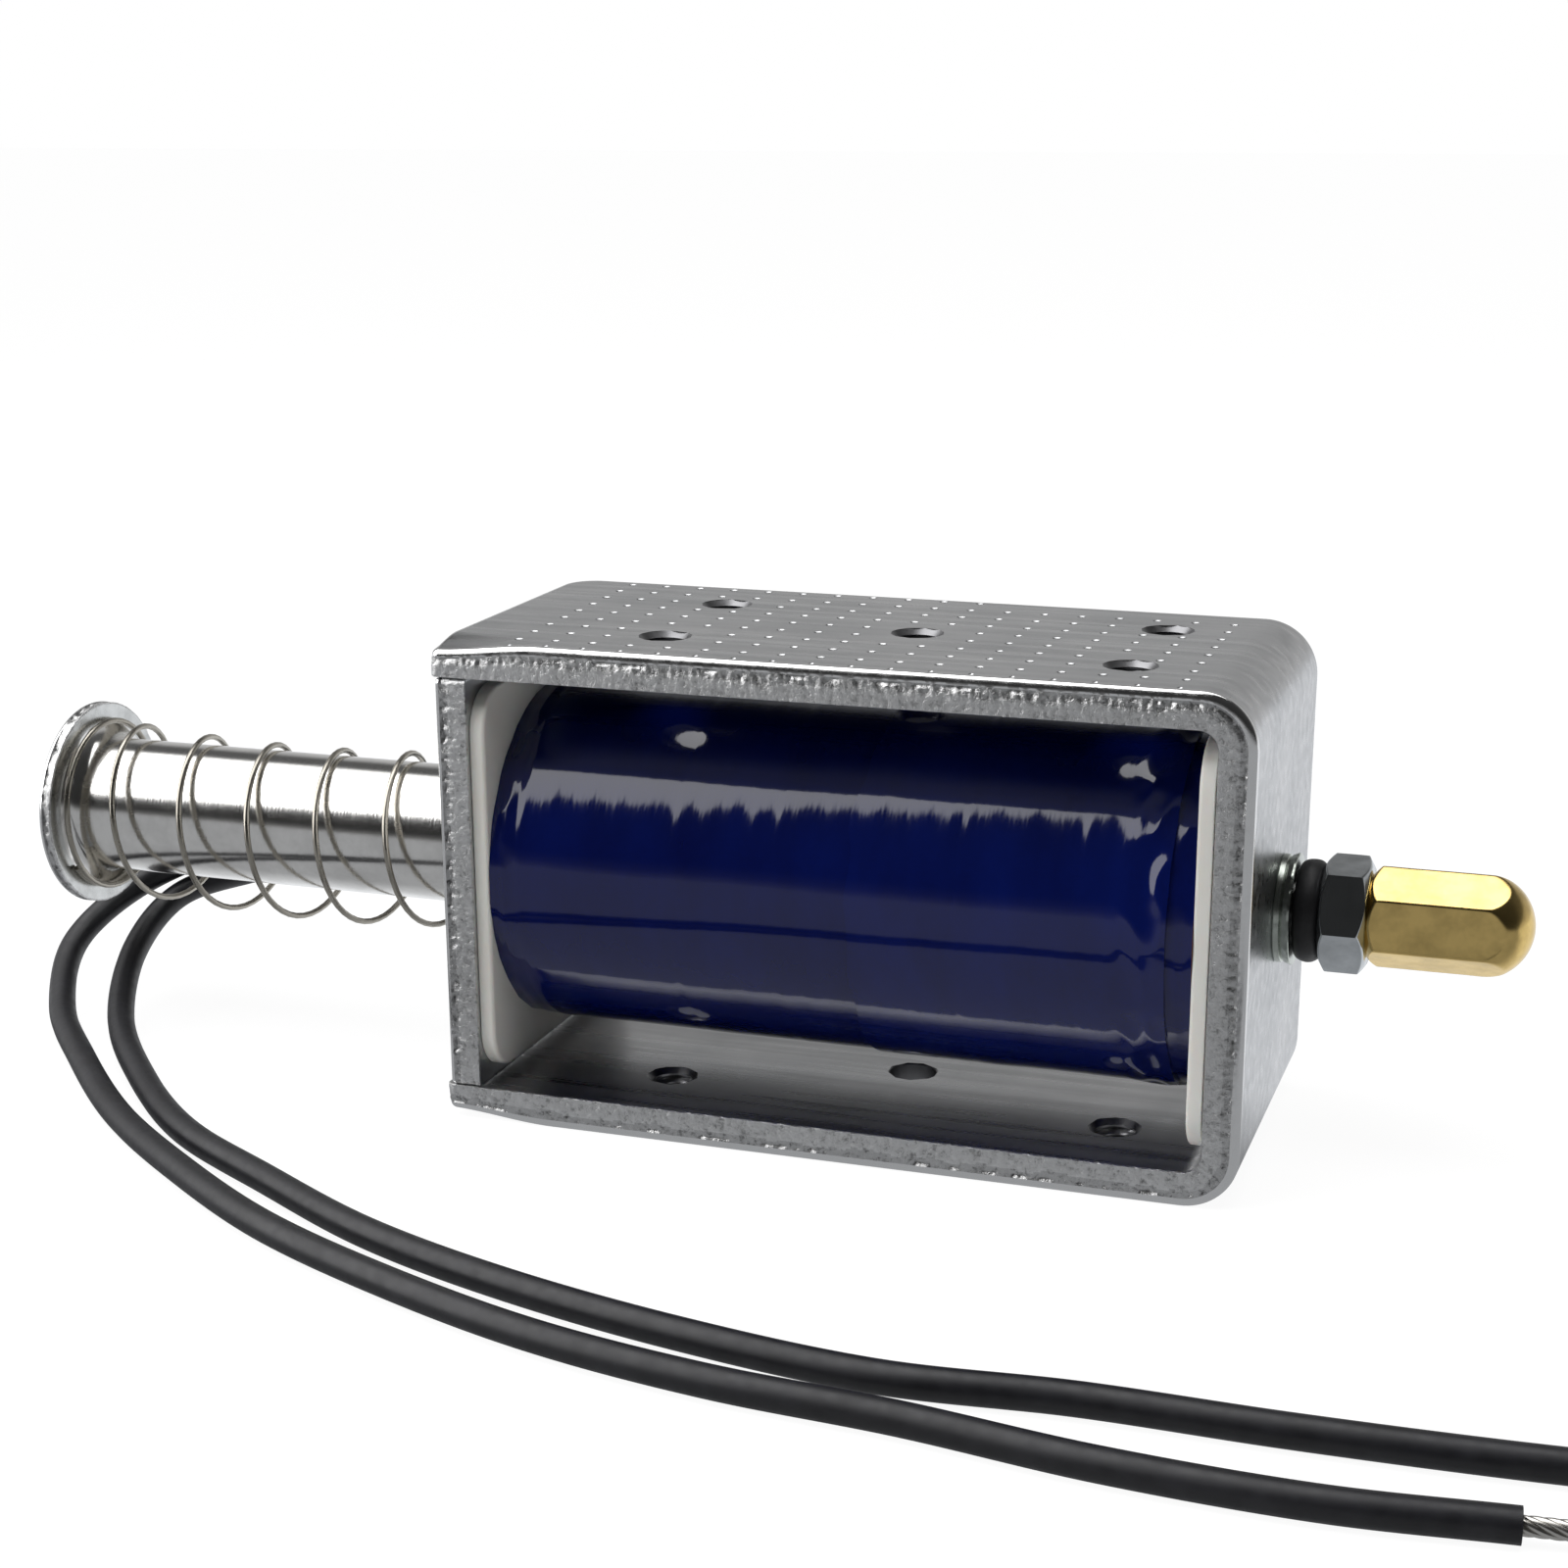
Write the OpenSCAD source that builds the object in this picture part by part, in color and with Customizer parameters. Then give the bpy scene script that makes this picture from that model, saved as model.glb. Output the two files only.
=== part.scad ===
// Open-frame push-pull solenoid with a return spring.
// Millimetres, +Z up. The plunger slides along X, and its push end points along +X.
// Origin: centre of the lower mounting hole pattern, on the underside of the bracket.

/* [Bracket] */
// length of the bracket along the plunger
body_len = 64; // [58:1:80]
// depth of the bracket, front to back
body_depth = 29; // [28.5:0.5:38]
// height of the bracket over both flanges
body_height = 39; // [38.5:0.5:50]
// thickness of the bracket sheet
sheet_t = 2.8; // [2:0.1:3.2]
// inner radius of the two bends
bend_r = 1.5; // [0.8:0.1:3]
// plan radius of the free corners at the back
corner_r = 3; // [1:0.5:4]
// plan radius of the free corners at the front
front_corner_r = 0.8; // [0.4:0.2:3]

/* [End plate] */
// thickness of the end plate
plate_t = 2.6; // [1.6:0.1:3.2]
// how far the flanges reach past the end plate
plate_lip = 0.5; // [0:0.1:2]
// how far the end plate stays inside the back edge
plate_back_gap = 1.3; // [0:0.1:2]

/* [Mounting holes] */
// hole spacing along the bracket
pitch_x = 36.5; // [26:0.5:40]
// hole spacing across the bracket
pitch_y = 14; // [10:0.5:16]
// distance of the hole pattern from mid-length, towards the web
pattern_offset = 3; // [0:0.5:4]
// wall diameter of a tapped hole
tap_d = 3.3; // [2.5:0.1:4.2]
// diameter of the chamfer round a tapped hole
tap_mouth_d = 4.2; // [3.4:0.1:5]
// diameter of the plain centre hole
centre_d = 3.9; // [3:0.1:5]

/* [Bobbin and coil] */
// thickness of a bobbin flange
flange_t = 1.2; // [0.8:0.1:2]
// corner radius of a bobbin flange
flange_corner_r = 3.5; // [1:0.5:6]
// wall of the bobbin tube
bobbin_wall = 0.9; // [0.6:0.1:1.4]
// diameter over the winding
winding_d = 27.8; // [20:0.2:28.4]
// thickness of the first tape wrap
tape_t = 0.25; // [0.1:0.05:0.5]
// thickness of the second tape wrap
patch_t = 0.2; // [0.1:0.05:0.5]
// width of the second tape wrap
patch_w = 24; // [10:1:27]
// distance of the second wrap from the inside of the web
patch_inset = 3.3; // [1:0.1:8]

/* [Core] */
// wall of the guide tube
tube_wall = 0.4; // [0.2:0.1:0.8]
// length of the fixed core inside the coil
core_len = 15; // [8:1:24]
// diameter of the core's stud through the web
stud_d = 8; // [7:0.1:10]
// diameter of the staked head outside the web
head_d = 8.6; // [8.2:0.1:11]
// length of the staked head
head_len = 1.3; // [0.8:0.1:3]

/* [Plunger] */
// plunger diameter
plunger_d = 11.5; // [9.5:0.1:12]
// stroke
stroke = 10; // [6:0.5:12]
// distance from the end plate to the plunger flange at rest
spring_room = 39.6; // [36:0.2:46]
// fillet where the plunger meets its flange
root_r = 1.4; // [0.5:0.1:2]
// diameter of the plunger flange
head_disc_d = 17.6; // [16.4:0.2:20]
// thickness of the plunger flange
head_disc_t = 1.2; // [0.8:0.1:2]
// length of the nose cone
nose_len = 3.2; // [1:0.2:4]
// greatest radius of the nose cone's wide end
nose_r1 = 4.5; // [4:0.1:4.7]
// greatest radius of the nose cone's tip
nose_r2 = 3; // [2.9:0.1:3.4]
// thickness of the anti-stick washer
washer_t = 0.3; // [0.2:0.1:0.5]

/* [Push end] */
// push rod diameter
rod_d = 5; // [4:0.1:5.2]
// diameter of the rubber ring
ring_d = 7.9; // [7:0.1:9]
// length of the rubber ring
ring_len = 1.9; // [1.2:0.1:3]
// nut size across flats
nut_af = 7.9; // [7:0.1:9]
// nut height
nut_h = 3.5; // [3:0.1:5]
// turn of the nut about the rod
nut_turn = 24; // [0:1:59]
// cap size across flats
cap_af = 6.8; // [6.4:0.1:8]
// cap length
cap_len = 12.1; // [9:0.1:16]
// turn of the cap about the rod
cap_turn = 4; // [0:1:59]
// depth of the threaded hole in the cap
cap_depth = 7.5; // [5:0.5:8]

/* [Return spring] */
// wire diameter
wire_d = 0.5; // [0.4:0.05:0.8]
// mean coil diameter
coil_d = 14.5; // [14.4:0.1:15.6]
// open turns between the closed ends
open_turns = 5.85; // [4:0.05:7]
// how far the middle of the spring hangs below its ends, where the plunger lets it
spring_sag = 1.1; // [0:0.1:1.5]
// turn of the spring about the plunger where its open turns start
spring_phase = 160; // [0:10:350]

/* [Leads] */
// lead diameter over the insulation
lead_d = 2.3; // [1.8:0.1:2.4]
// diameter of the bare stranded end
tip_d = 1.4; // [0.8:0.1:1.6]
// length of the bare end
tip_len = 5; // [3:0.5:8]
// wall of the taped pad over the leads
pad_wall = 0.4; // [0.2:0.1:0.8]

/* [Hidden] */
e = 0.01;
slide_gap = 0.08;   // radial clearance of the plunger and of the rod
fit_gap = 0.02;     // radial clearance of nested fixed pieces
rest_gap = 0.1;     // air left where a moving piece rests near a fixed one
end_play = 0.15;    // bobbin short of the web
top_gap = 1;        // least room above and below the bobbin flanges
side_gap = 0.5;     // bobbin flange behind the edge of the bracket

x_left = -body_len / 2 - pattern_offset;
x_right = body_len / 2 - pattern_offset;
web_in = x_right - sheet_t;
plate_out = x_left + plate_lip;
plate_in = plate_out + plate_t;
axis_z = body_height / 2;
inner_h = body_height - 2 * sheet_t;
// the bobbin flange by the web clears the inner radius of the bends
bobbin_x1 = web_in - end_play;
bend_room = bend_r - sqrt(pow(bend_r, 2) - pow(bend_r - end_play, 2));
flange_h = inner_h - 2 * max(top_gap, bend_room + 0.1);

plunger_r = plunger_d / 2;
tube_in_r = plunger_r + slide_gap;
tube_out_r = tube_in_r + tube_wall;
bore_r = tube_out_r + fit_gap;
barrel_r = bore_r + bobbin_wall;
winding_r = winding_d / 2;
tape_r = winding_r + tape_t;
patch_r = tape_r + patch_t;
winding_x0 = plate_in + flange_t;
winding_x1 = bobbin_x1 - flange_t;
patch_x1 = web_in - patch_inset;
patch_x0 = patch_x1 - patch_w;

rod_r = rod_d / 2;
// the nose cone leaves a shoulder for the washer
cone_r1 = min(nose_r1, plunger_r - 1);
cone_r2 = min(nose_r2, cone_r1 - 0.5);
core_r = tube_in_r - fit_gap;
core_x0 = web_in - core_len;
core_bore_r = rod_r + slide_gap;
head_x1 = x_right + head_len;

disc_in = plate_out - spring_room;
disc_out = disc_in - head_disc_t;
shoulder_x = core_x0 - stroke - washer_t - rest_gap;
nose_x = shoulder_x + nose_len;
ring_x0 = head_x1 + rest_gap;
ring_x1 = ring_x0 + ring_len;
nut_x1 = ring_x1 + nut_h;
cap_x1 = nut_x1 + cap_len;
rod_x0 = nose_x - 9;
rod_x1 = nut_x1 + cap_depth - 1;

// The spring winds a closed turn at the flange, the open turns, then one and a half closed
// turns at the end plate.
wire_r = wire_d / 2;
hang = max(0, min(spring_sag, (coil_d - wire_d - plunger_d) / 2 - 0.05));
closed_a = 1.2;
closed_b = 1.5;
turn_step = wire_d + 0.02;
spring_x0 = disc_in + wire_r;
spring_x1 = plate_out - wire_r;
spring_turns = closed_a + open_turns + closed_b;
open_run = spring_x1 - spring_x0 - (closed_a + closed_b) * turn_step;

// Lead routes: the leads leave the taped pad behind the coil, pass behind the plunger and
// under its end, and lie on the surface in front of the bracket.
lead_r = lead_d / 2;
route_a = [
    [-16, 15.5, 21], [-28, 15.5, 21], [-38, 15.5, 21], [-48, 15, 18.5], [-58, 14, 15.5],
    [-68, 12, 13.2], [-76, 8, 9.8], [-79, 1, 6], [-75, -8, 3], [-68, -16, 1.8],
    [-59, -25, 1.2], [-49, -33, 1.2], [-37, -41, 1.2], [-24, -47, 1.2], [-11, -51.5, 1.2],
    [2, -54, 1.2], [15, -55, 1.2], [28, -56.8, 1.2], [41, -57.3, 1.2], [52.5, -56.2, 1.2]];
route_b = [
    [-16, 15.5, 18.4], [-28, 15.5, 18.4], [-38, 15.5, 18.4], [-48, 14.6, 15.6],
    [-58, 13.6, 12.8], [-67, 12.2, 10.5], [-73, 9, 8.5], [-73, 1, 5.7], [-68.5, -9, 2.9],
    [-61, -18, 1.6], [-52, -26.5, 1.2], [-41, -33.3, 1.2], [-29, -40, 1.2],
    [-16, -44.8, 1.2], [-2, -48.2, 1.2], [12, -50, 1.2], [25, -49, 1.2], [38, -49, 1.2],
    [51, -48.5, 1.2], [63, -47.5, 1.2]];
pad_x0 = -26;
pad_x1 = -10;

// ---------------------------------------------------------------- helpers

// A solid of revolution about the plunger axis, from a profile of [x, radius] points.
module turned(profile, sides = 96)
    translate([0, 0, axis_z]) rotate([0, 90, 0]) rotate([0, 0, 90])
        rotate_extrude($fn = sides) polygon([for (p = profile) [p[1], p[0]]]);

// A plain round bar about the plunger axis.
module bar(x0, x1, r)
    translate([x0, 0, axis_z]) rotate([0, 90, 0]) cylinder(h = x1 - x0, r = r, $fn = 96);

// A tube about the plunger axis.
module pipe(x0, x1, r_in, r_out)
    difference() {
        bar(x0, x1, r_out);
        bar(x0 - 1, x1 + 1, r_in);
    }

// A hexagonal bar about the plunger axis; turn is the angle of a flat above the -Y side.
module hex_bar(x0, x1, af, turn)
    translate([x0, 0, axis_z]) rotate([-turn, 0, 0]) rotate([0, 90, 0])
        cylinder(h = x1 - x0, r = af / 2 / cos(30), $fn = 6);

// A sheet outline with the two bends at its right end, as seen from the front.
module bent_outline(x0, x1, z0, z1, r)
    union() {
        translate([x0, z0]) square([x1 - r - x0, z1 - z0]);
        translate([x1 - r - e, z0 + r]) square([r + e, z1 - z0 - 2 * r]);
        for (z = [z0 + r, z1 - r]) translate([x1 - r, z]) circle(r, $fn = 96);
    }

// A rounded plate across the plunger axis.
module rounded_plate(x0, t, depth, height, r)
    translate([x0, 0, axis_z]) rotate([90, 0, 90]) linear_extrude(t) union() {
        square([depth - 2 * r, height], center = true);
        square([depth, height - 2 * r], center = true);
        for (sy = [-1, 1], sz = [-1, 1])
            translate([sy * (depth / 2 - r), sz * (height / 2 - r)]) circle(r, $fn = 64);
    }

function cross3(a, b) = [a[1] * b[2] - a[2] * b[1], a[2] * b[0] - a[0] * b[2],
    a[0] * b[1] - a[1] * b[0]];
function unit(v) = v / norm(v);

// Point at parameter u on the smooth curve through the route's points.
function route_point(pts, u) =
    let (n = len(pts), i = min(floor(u), n - 2), t = u - i,
        b = pts[i], c = pts[i + 1],
        a = i == 0 ? 2 * b - c : pts[i - 1],
        d = i == n - 2 ? 2 * c - b : pts[i + 2])
    0.5 * (2 * b + (c - a) * t + (2 * a - 5 * b + 4 * c - d) * t * t
        + (3 * b - a - 3 * c + d) * t * t * t);

// Distance along the axis after u turns of the spring.
function spring_run(u) = u < closed_a ? u * turn_step
    : u < closed_a + open_turns
        ? closed_a * turn_step + (u - closed_a) * open_run / open_turns
        : closed_a * turn_step + open_run + (u - closed_a - open_turns) * turn_step;

// Upright side vector of a path: it never turns over, because no lead runs straight up.
function side_of(v) = unit(cross3([0, 0, 1], v));

// Sweeps a round section along a list of points.
module swept(pts, r, sides) {
    n = len(pts);
    dirs = [for (i = [0:n - 1]) unit(pts[min(i + 1, n - 1)] - pts[max(i - 1, 0)])];
    rings = [for (i = [0:n - 1]) let (s = side_of(dirs[i]), w = cross3(dirs[i], s))
        for (k = [0:sides - 1]) let (a = 360 * (k + 0.5) / sides)
            pts[i] + r * (cos(a) * s + sin(a) * w)];
    skin = [for (i = [0:n - 2], k = [0:sides - 1]) let (k2 = (k + 1) % sides)
        [i * sides + k, (i + 1) * sides + k, (i + 1) * sides + k2, i * sides + k2]];
    tris = [for (f = skin) each [[f[0], f[1], f[2]], [f[0], f[2], f[3]]]];
    cap0 = [[for (k = [0:sides - 1]) k]];
    cap1 = [[for (k = [sides - 1:-1:0]) (n - 1) * sides + k]];
    polyhedron(rings, concat(cap0, tris, cap1), convexity = 10);
}

function route_samples(pts, per = 2) =
    [for (j = [0:(len(pts) - 1) * per]) route_point(pts, j / per)];

// Straight bare end in line with the last stretch of a lead.
module bare_end(pts) {
    n = len(pts);
    s = route_samples(pts);
    m = len(s);
    d = unit(s[m - 1] - s[m - 2]);
    swept([s[m - 1], s[m - 1] + d * tip_len / 2, s[m - 1] + d * tip_len], tip_d / 2, 8);
}

// ---------------------------------------------------------------- fixed pieces

module tapped_hole(x, y, z0, z1) {
    chamfer = (tap_mouth_d - tap_d) / 2;
    translate([x, y, z0 - 1]) cylinder(h = z1 - z0 + 2, d = tap_d, $fn = 48);
    translate([x, y, z1 - chamfer]) cylinder(h = chamfer + e, r1 = tap_d / 2,
        r2 = tap_mouth_d / 2 + e, $fn = 48);
    translate([x, y, z0 - e]) cylinder(h = chamfer + e, r1 = tap_mouth_d / 2 + e,
        r2 = tap_d / 2, $fn = 48);
}

// What a rounded free corner takes off, on the front (-1) or back (1) side.
module corner_cut(side, r) difference() {
    translate([x_left - 1, side < 0 ? -body_depth / 2 - 1 : body_depth / 2 - r, -1])
        cube([r + 1, r + 1, body_height + 2]);
    translate([x_left + r, side * (body_depth / 2 - r), -2])
        cylinder(h = body_height + 4, r = r, $fn = 64);
}

module frame_bracket() color("silver") difference() {
    rotate([90, 0, 0]) translate([0, 0, -body_depth / 2]) linear_extrude(body_depth)
        difference() {
            bent_outline(x_left, x_right, 0, body_height, bend_r + sheet_t);
            bent_outline(x_left - 1, web_in, sheet_t, body_height - sheet_t, bend_r);
        }
    corner_cut(-1, front_corner_r);
    corner_cut(1, corner_r);
    for (z = [0, body_height - sheet_t], sx = [-1, 1], sy = [-1, 1])
        tapped_hole(sx * pitch_x / 2, sy * pitch_y / 2, z, z + sheet_t);
    tapped_hole(0, 0, body_height - sheet_t, body_height);
    translate([0, 0, -1]) cylinder(h = sheet_t + 2, d = centre_d, $fn = 48);
    bar(web_in - 1, x_right + 1, stud_d / 2);
}

module end_plate() color("silver") difference() {
    translate([plate_out, -body_depth / 2, sheet_t])
        cube([plate_t, body_depth - plate_back_gap, inner_h]);
    bar(plate_out - 1, plate_in + 1, bore_r);
}

module bobbin() color("white") difference() {
    union() {
        for (x = [plate_in, winding_x1])
            rounded_plate(x, flange_t, body_depth - 2 * side_gap, flange_h, flange_corner_r);
        bar(plate_in, bobbin_x1, barrel_r);
    }
    bar(plate_in - 1, web_in + 1, bore_r);
}

module coil_winding() color("peru")
    pipe(winding_x0, winding_x1, barrel_r, winding_r);

module coil_tape() color("mediumblue")
    pipe(winding_x0, winding_x1, winding_r, tape_r);

module tape_patch() color("blue")
    pipe(patch_x0, patch_x1, tape_r, patch_r);

module lead_pad() color("mediumblue") difference() {
    rows = [route_a[0], route_b[0]];
    y_out = max(rows[0][1], rows[1][1]) + lead_r + pad_wall;
    translate([pad_x0, 0, rows[1][2]]) rotate([90, 0, 90]) linear_extrude(pad_x1 - pad_x0)
        union() {
            translate([tape_r - 3, -lead_r - pad_wall]) square([3 + y_out - tape_r - lead_r,
                rows[0][2] - rows[1][2] + 2 * (lead_r + pad_wall)]);
            translate([y_out - lead_r - e, -pad_wall])
                square([lead_r + e, rows[0][2] - rows[1][2] + 2 * pad_wall]);
            for (z = [-pad_wall, rows[0][2] - rows[1][2] + pad_wall])
                translate([y_out - lead_r, z]) circle(lead_r, $fn = 48);
        }
    bar(pad_x0 - 1, pad_x1 + 1, tape_r + fit_gap);
    for (p = rows) translate([pad_x0 - 1, p[1], p[2]]) rotate([0, 90, 0])
        cylinder(h = p[0] - pad_x0 + 1, r = lead_r + fit_gap, $fn = 48);
}

module guide_tube() color("goldenrod")
    pipe(plate_out, web_in, tube_in_r, tube_out_r);

module fixed_core() color("darkgray")
    turned([[core_x0, core_bore_r + cone_r1 - rod_r], [core_x0, core_r], [web_in, core_r],
        [web_in, stud_d / 2 - fit_gap], [x_right, stud_d / 2 - fit_gap], [x_right, head_d / 2 - 0.2],
        [x_right + 0.3, head_d / 2], [head_x1 - 0.3, head_d / 2],
        [head_x1, head_d / 2 - 0.3], [head_x1, core_bore_r],
        [core_x0 + nose_len, core_bore_r],
        [core_x0 + nose_len, core_bore_r + cone_r2 - rod_r]]);

// ---------------------------------------------------------------- moving pieces

module plunger() color("gainsboro") difference() {
    union() {
        bar(disc_in, shoulder_x - 0.4, plunger_r);
        turned([[shoulder_x - 0.4, 0], [shoulder_x - 0.4, plunger_r],
            [shoulder_x, plunger_r - 0.4], [shoulder_x, cone_r1], [nose_x, cone_r2],
            [nose_x, 0]]);
        difference() {
            bar(disc_in, disc_in + root_r, plunger_r + root_r);
            translate([0, 0, axis_z]) rotate([0, 90, 0]) rotate_extrude($fn = 96)
                translate([plunger_r + root_r, disc_in + root_r]) circle(root_r, $fn = 64);
        }
    }
    bar(rod_x0, nose_x + 1, rod_r + fit_gap);
}

module plunger_flange() color("silver")
    turned([[disc_out, 0], [disc_out, head_disc_d / 2 - 0.35],
        [disc_out + 0.35, head_disc_d / 2], [disc_in - 0.15, head_disc_d / 2],
        [disc_in, head_disc_d / 2 - 0.15], [disc_in, 0]]);

module push_rod() color("lightgray")
    turned([[rod_x0, 0], [rod_x0, rod_r - 0.3], [rod_x0 + 0.3, rod_r], [rod_x1 - 0.5, rod_r],
        [rod_x1, rod_r - 0.5], [rod_x1, 0]]);

module anti_stick_washer() color("khaki")
    pipe(shoulder_x, shoulder_x + washer_t, cone_r1 + fit_gap, plunger_r - 0.4);

module return_spring() color("darkgray") {
    step = 18;
    n = round(spring_turns * step);
    mid = (spring_x0 + spring_x1) / 2;
    half = (spring_x1 - spring_x0) / 2;
    pts = [for (i = [0:n]) let (u = spring_turns * i / n, x = spring_x0 + spring_run(u),
            q = (x - mid) / half, a = 360 * (u - closed_a) - spring_phase)
        [x, -coil_d / 2 * sin(a), axis_z - hang * (1 - q * q) + coil_d / 2 * cos(a)]];
    sides = 8;
    rings = [for (i = [0:n]) let (a = 360 * (spring_turns * i / n - closed_a) - spring_phase,
            out = [0, -sin(a), cos(a)])
        for (k = [0:sides - 1]) let (b = 360 * k / sides)
            pts[i] + wire_r * (cos(b) * out + sin(b) * [1, 0, 0])];
    tris = [for (i = [0:n - 1], k = [0:sides - 1])
        let (k2 = (k + 1) % sides, p = i * sides + k, q = i * sides + k2)
        each [[p, q, q + sides], [p, q + sides, p + sides]]];
    cap0 = [[for (k = [sides - 1:-1:0]) k]];
    cap1 = [[for (k = [0:sides - 1]) n * sides + k]];
    polyhedron(rings, concat(cap0, tris, cap1), convexity = 20);
}

module rubber_ring() color("dimgray")
    turned([[ring_x0, rod_r + fit_gap], [ring_x0, ring_d / 2 - 0.5],
        [ring_x0 + 0.5, ring_d / 2], [ring_x1 - 0.5, ring_d / 2],
        [ring_x1, ring_d / 2 - 0.5], [ring_x1, rod_r + fit_gap]]);

module hex_nut() color("silver") {
    c = nut_af / 2 / cos(30);
    face_r = nut_af / 2 - 0.2;
    b = (c - face_r) * 0.6;
    difference() {
        intersection() {
            hex_bar(ring_x1, nut_x1, nut_af, nut_turn);
            turned([[ring_x1, 0], [ring_x1, face_r], [ring_x1 + b, c + e],
                [nut_x1 - b, c + e], [nut_x1, face_r], [nut_x1, 0]]);
        }
        bar(ring_x1 - 1, nut_x1 + 1, rod_r + fit_gap);
    }
}

module cap_nut() color("gold") {
    c = cap_af / 2 / cos(30);
    dome_r = c + 0.1;
    difference() {
        intersection() {
            hex_bar(nut_x1, cap_x1, cap_af, cap_turn);
            union() {
                bar(nut_x1 + 0.6, cap_x1 - dome_r, c + 0.05);
                turned([[nut_x1, 0], [nut_x1, cap_af / 2 - 0.25], [nut_x1 + 0.6, c + 0.05],
                    [nut_x1 + 0.6, 0]]);
                translate([cap_x1 - dome_r, 0, axis_z]) rotate([0, 90, 0])
                    sphere(dome_r, $fn = 96);
            }
        }
        bar(nut_x1 - 1, nut_x1 + cap_depth, rod_r + fit_gap);
    }
}

// ---------------------------------------------------------------- leads

module lead_wire_a() color("black") swept(route_samples(route_a), lead_r, 8);
module lead_wire_b() color("black") swept(route_samples(route_b), lead_r, 8);
module lead_tip_a() color("silver") bare_end(route_a);
module lead_tip_b() color("silver") bare_end(route_b);

// ---------------------------------------------------------------- parts

frame_bracket();
end_plate();
bobbin();
coil_winding();
coil_tape();
tape_patch();
lead_pad();
guide_tube();
fixed_core();
plunger();
plunger_flange();
push_rod();
anti_stick_washer();
return_spring();
rubber_ring();
hex_nut();
cap_nut();
lead_wire_a();
lead_wire_b();
lead_tip_a();
lead_tip_b();
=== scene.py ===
"""Open-frame push-pull solenoid: bracket, coil, plunger with its spring, push end and leads.

Sizes below are in millimetres unless a name or a docstring says metres. The CAD frame gives
each piece its place, and every piece's mesh is written in the same frame.
"""

import logging
import math
from collections.abc import Callable, Iterable, Sequence
from dataclasses import dataclass, field
from enum import Enum

import bmesh
import bpy
from mathutils import Matrix, Vector, noise
from mathutils.geometry import delaunay_2d_cdt


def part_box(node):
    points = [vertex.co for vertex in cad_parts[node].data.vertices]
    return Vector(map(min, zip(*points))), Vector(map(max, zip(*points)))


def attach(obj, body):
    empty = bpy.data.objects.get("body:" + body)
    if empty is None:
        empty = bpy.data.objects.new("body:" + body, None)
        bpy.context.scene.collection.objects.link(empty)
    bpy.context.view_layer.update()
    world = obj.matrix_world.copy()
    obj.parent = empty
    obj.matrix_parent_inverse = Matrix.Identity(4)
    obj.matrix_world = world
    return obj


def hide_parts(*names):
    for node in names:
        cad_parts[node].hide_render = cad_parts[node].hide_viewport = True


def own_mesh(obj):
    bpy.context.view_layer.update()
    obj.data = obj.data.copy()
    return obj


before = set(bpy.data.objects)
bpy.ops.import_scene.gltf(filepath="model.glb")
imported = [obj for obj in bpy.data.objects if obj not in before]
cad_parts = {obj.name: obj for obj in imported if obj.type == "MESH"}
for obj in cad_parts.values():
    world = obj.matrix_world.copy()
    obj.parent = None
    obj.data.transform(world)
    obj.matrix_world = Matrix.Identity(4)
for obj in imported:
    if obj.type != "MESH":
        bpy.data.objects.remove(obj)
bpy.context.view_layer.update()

MM = 0.001
LOG = logging.getLogger("solenoid")

Point2 = tuple[float, float]
Place = Callable[[float, float, float], Vector]


class Body(Enum):
    """The rigid bodies of the part."""

    FRAME = "frame"
    PLUNGER = "plunger_assembly"


class Skin(Enum):
    """The surfaces of a punched sheet, in the order of their material slots."""

    FACE = 0
    ROLL = 1
    WALL = 2
    HOLE = 3
    TORN = 4


def span(node: str) -> tuple[Vector, Vector]:
    """Reads a CAD node's box.

    Args:
        node: Name of the node.

    Returns:
        Its lowest and highest corners, in millimetres.
    """
    low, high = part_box(node)
    return Vector(low) / MM, Vector(high) / MM


AXIS_Z = (span("plunger")[0].z + span("plunger")[1].z) / 2


def smoothstep(low: float, high: float, value: float) -> float:
    """Eases from 0 at low to 1 at high."""
    t = max(0.0, min(1.0, (value - low) / (high - low)))
    return t * t * (3 - 2 * t)


def ripple(x: float, y: float, z: float, seed: float = 0.0) -> float:
    """Smooth noise from about -1 to 1 at a point, moved by the seed."""
    return noise.noise(Vector((x + seed, y - 0.7 * seed, z + 0.3 * seed)))


def about_axis(x: float, radius: float, angle: float) -> Vector:
    """A point about the plunger axis; the angle starts at the front and turns upwards."""
    return Vector((x, -radius * math.cos(angle), AXIS_Z + radius * math.sin(angle)))


# ---------------------------------------------------------------- finishes


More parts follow.
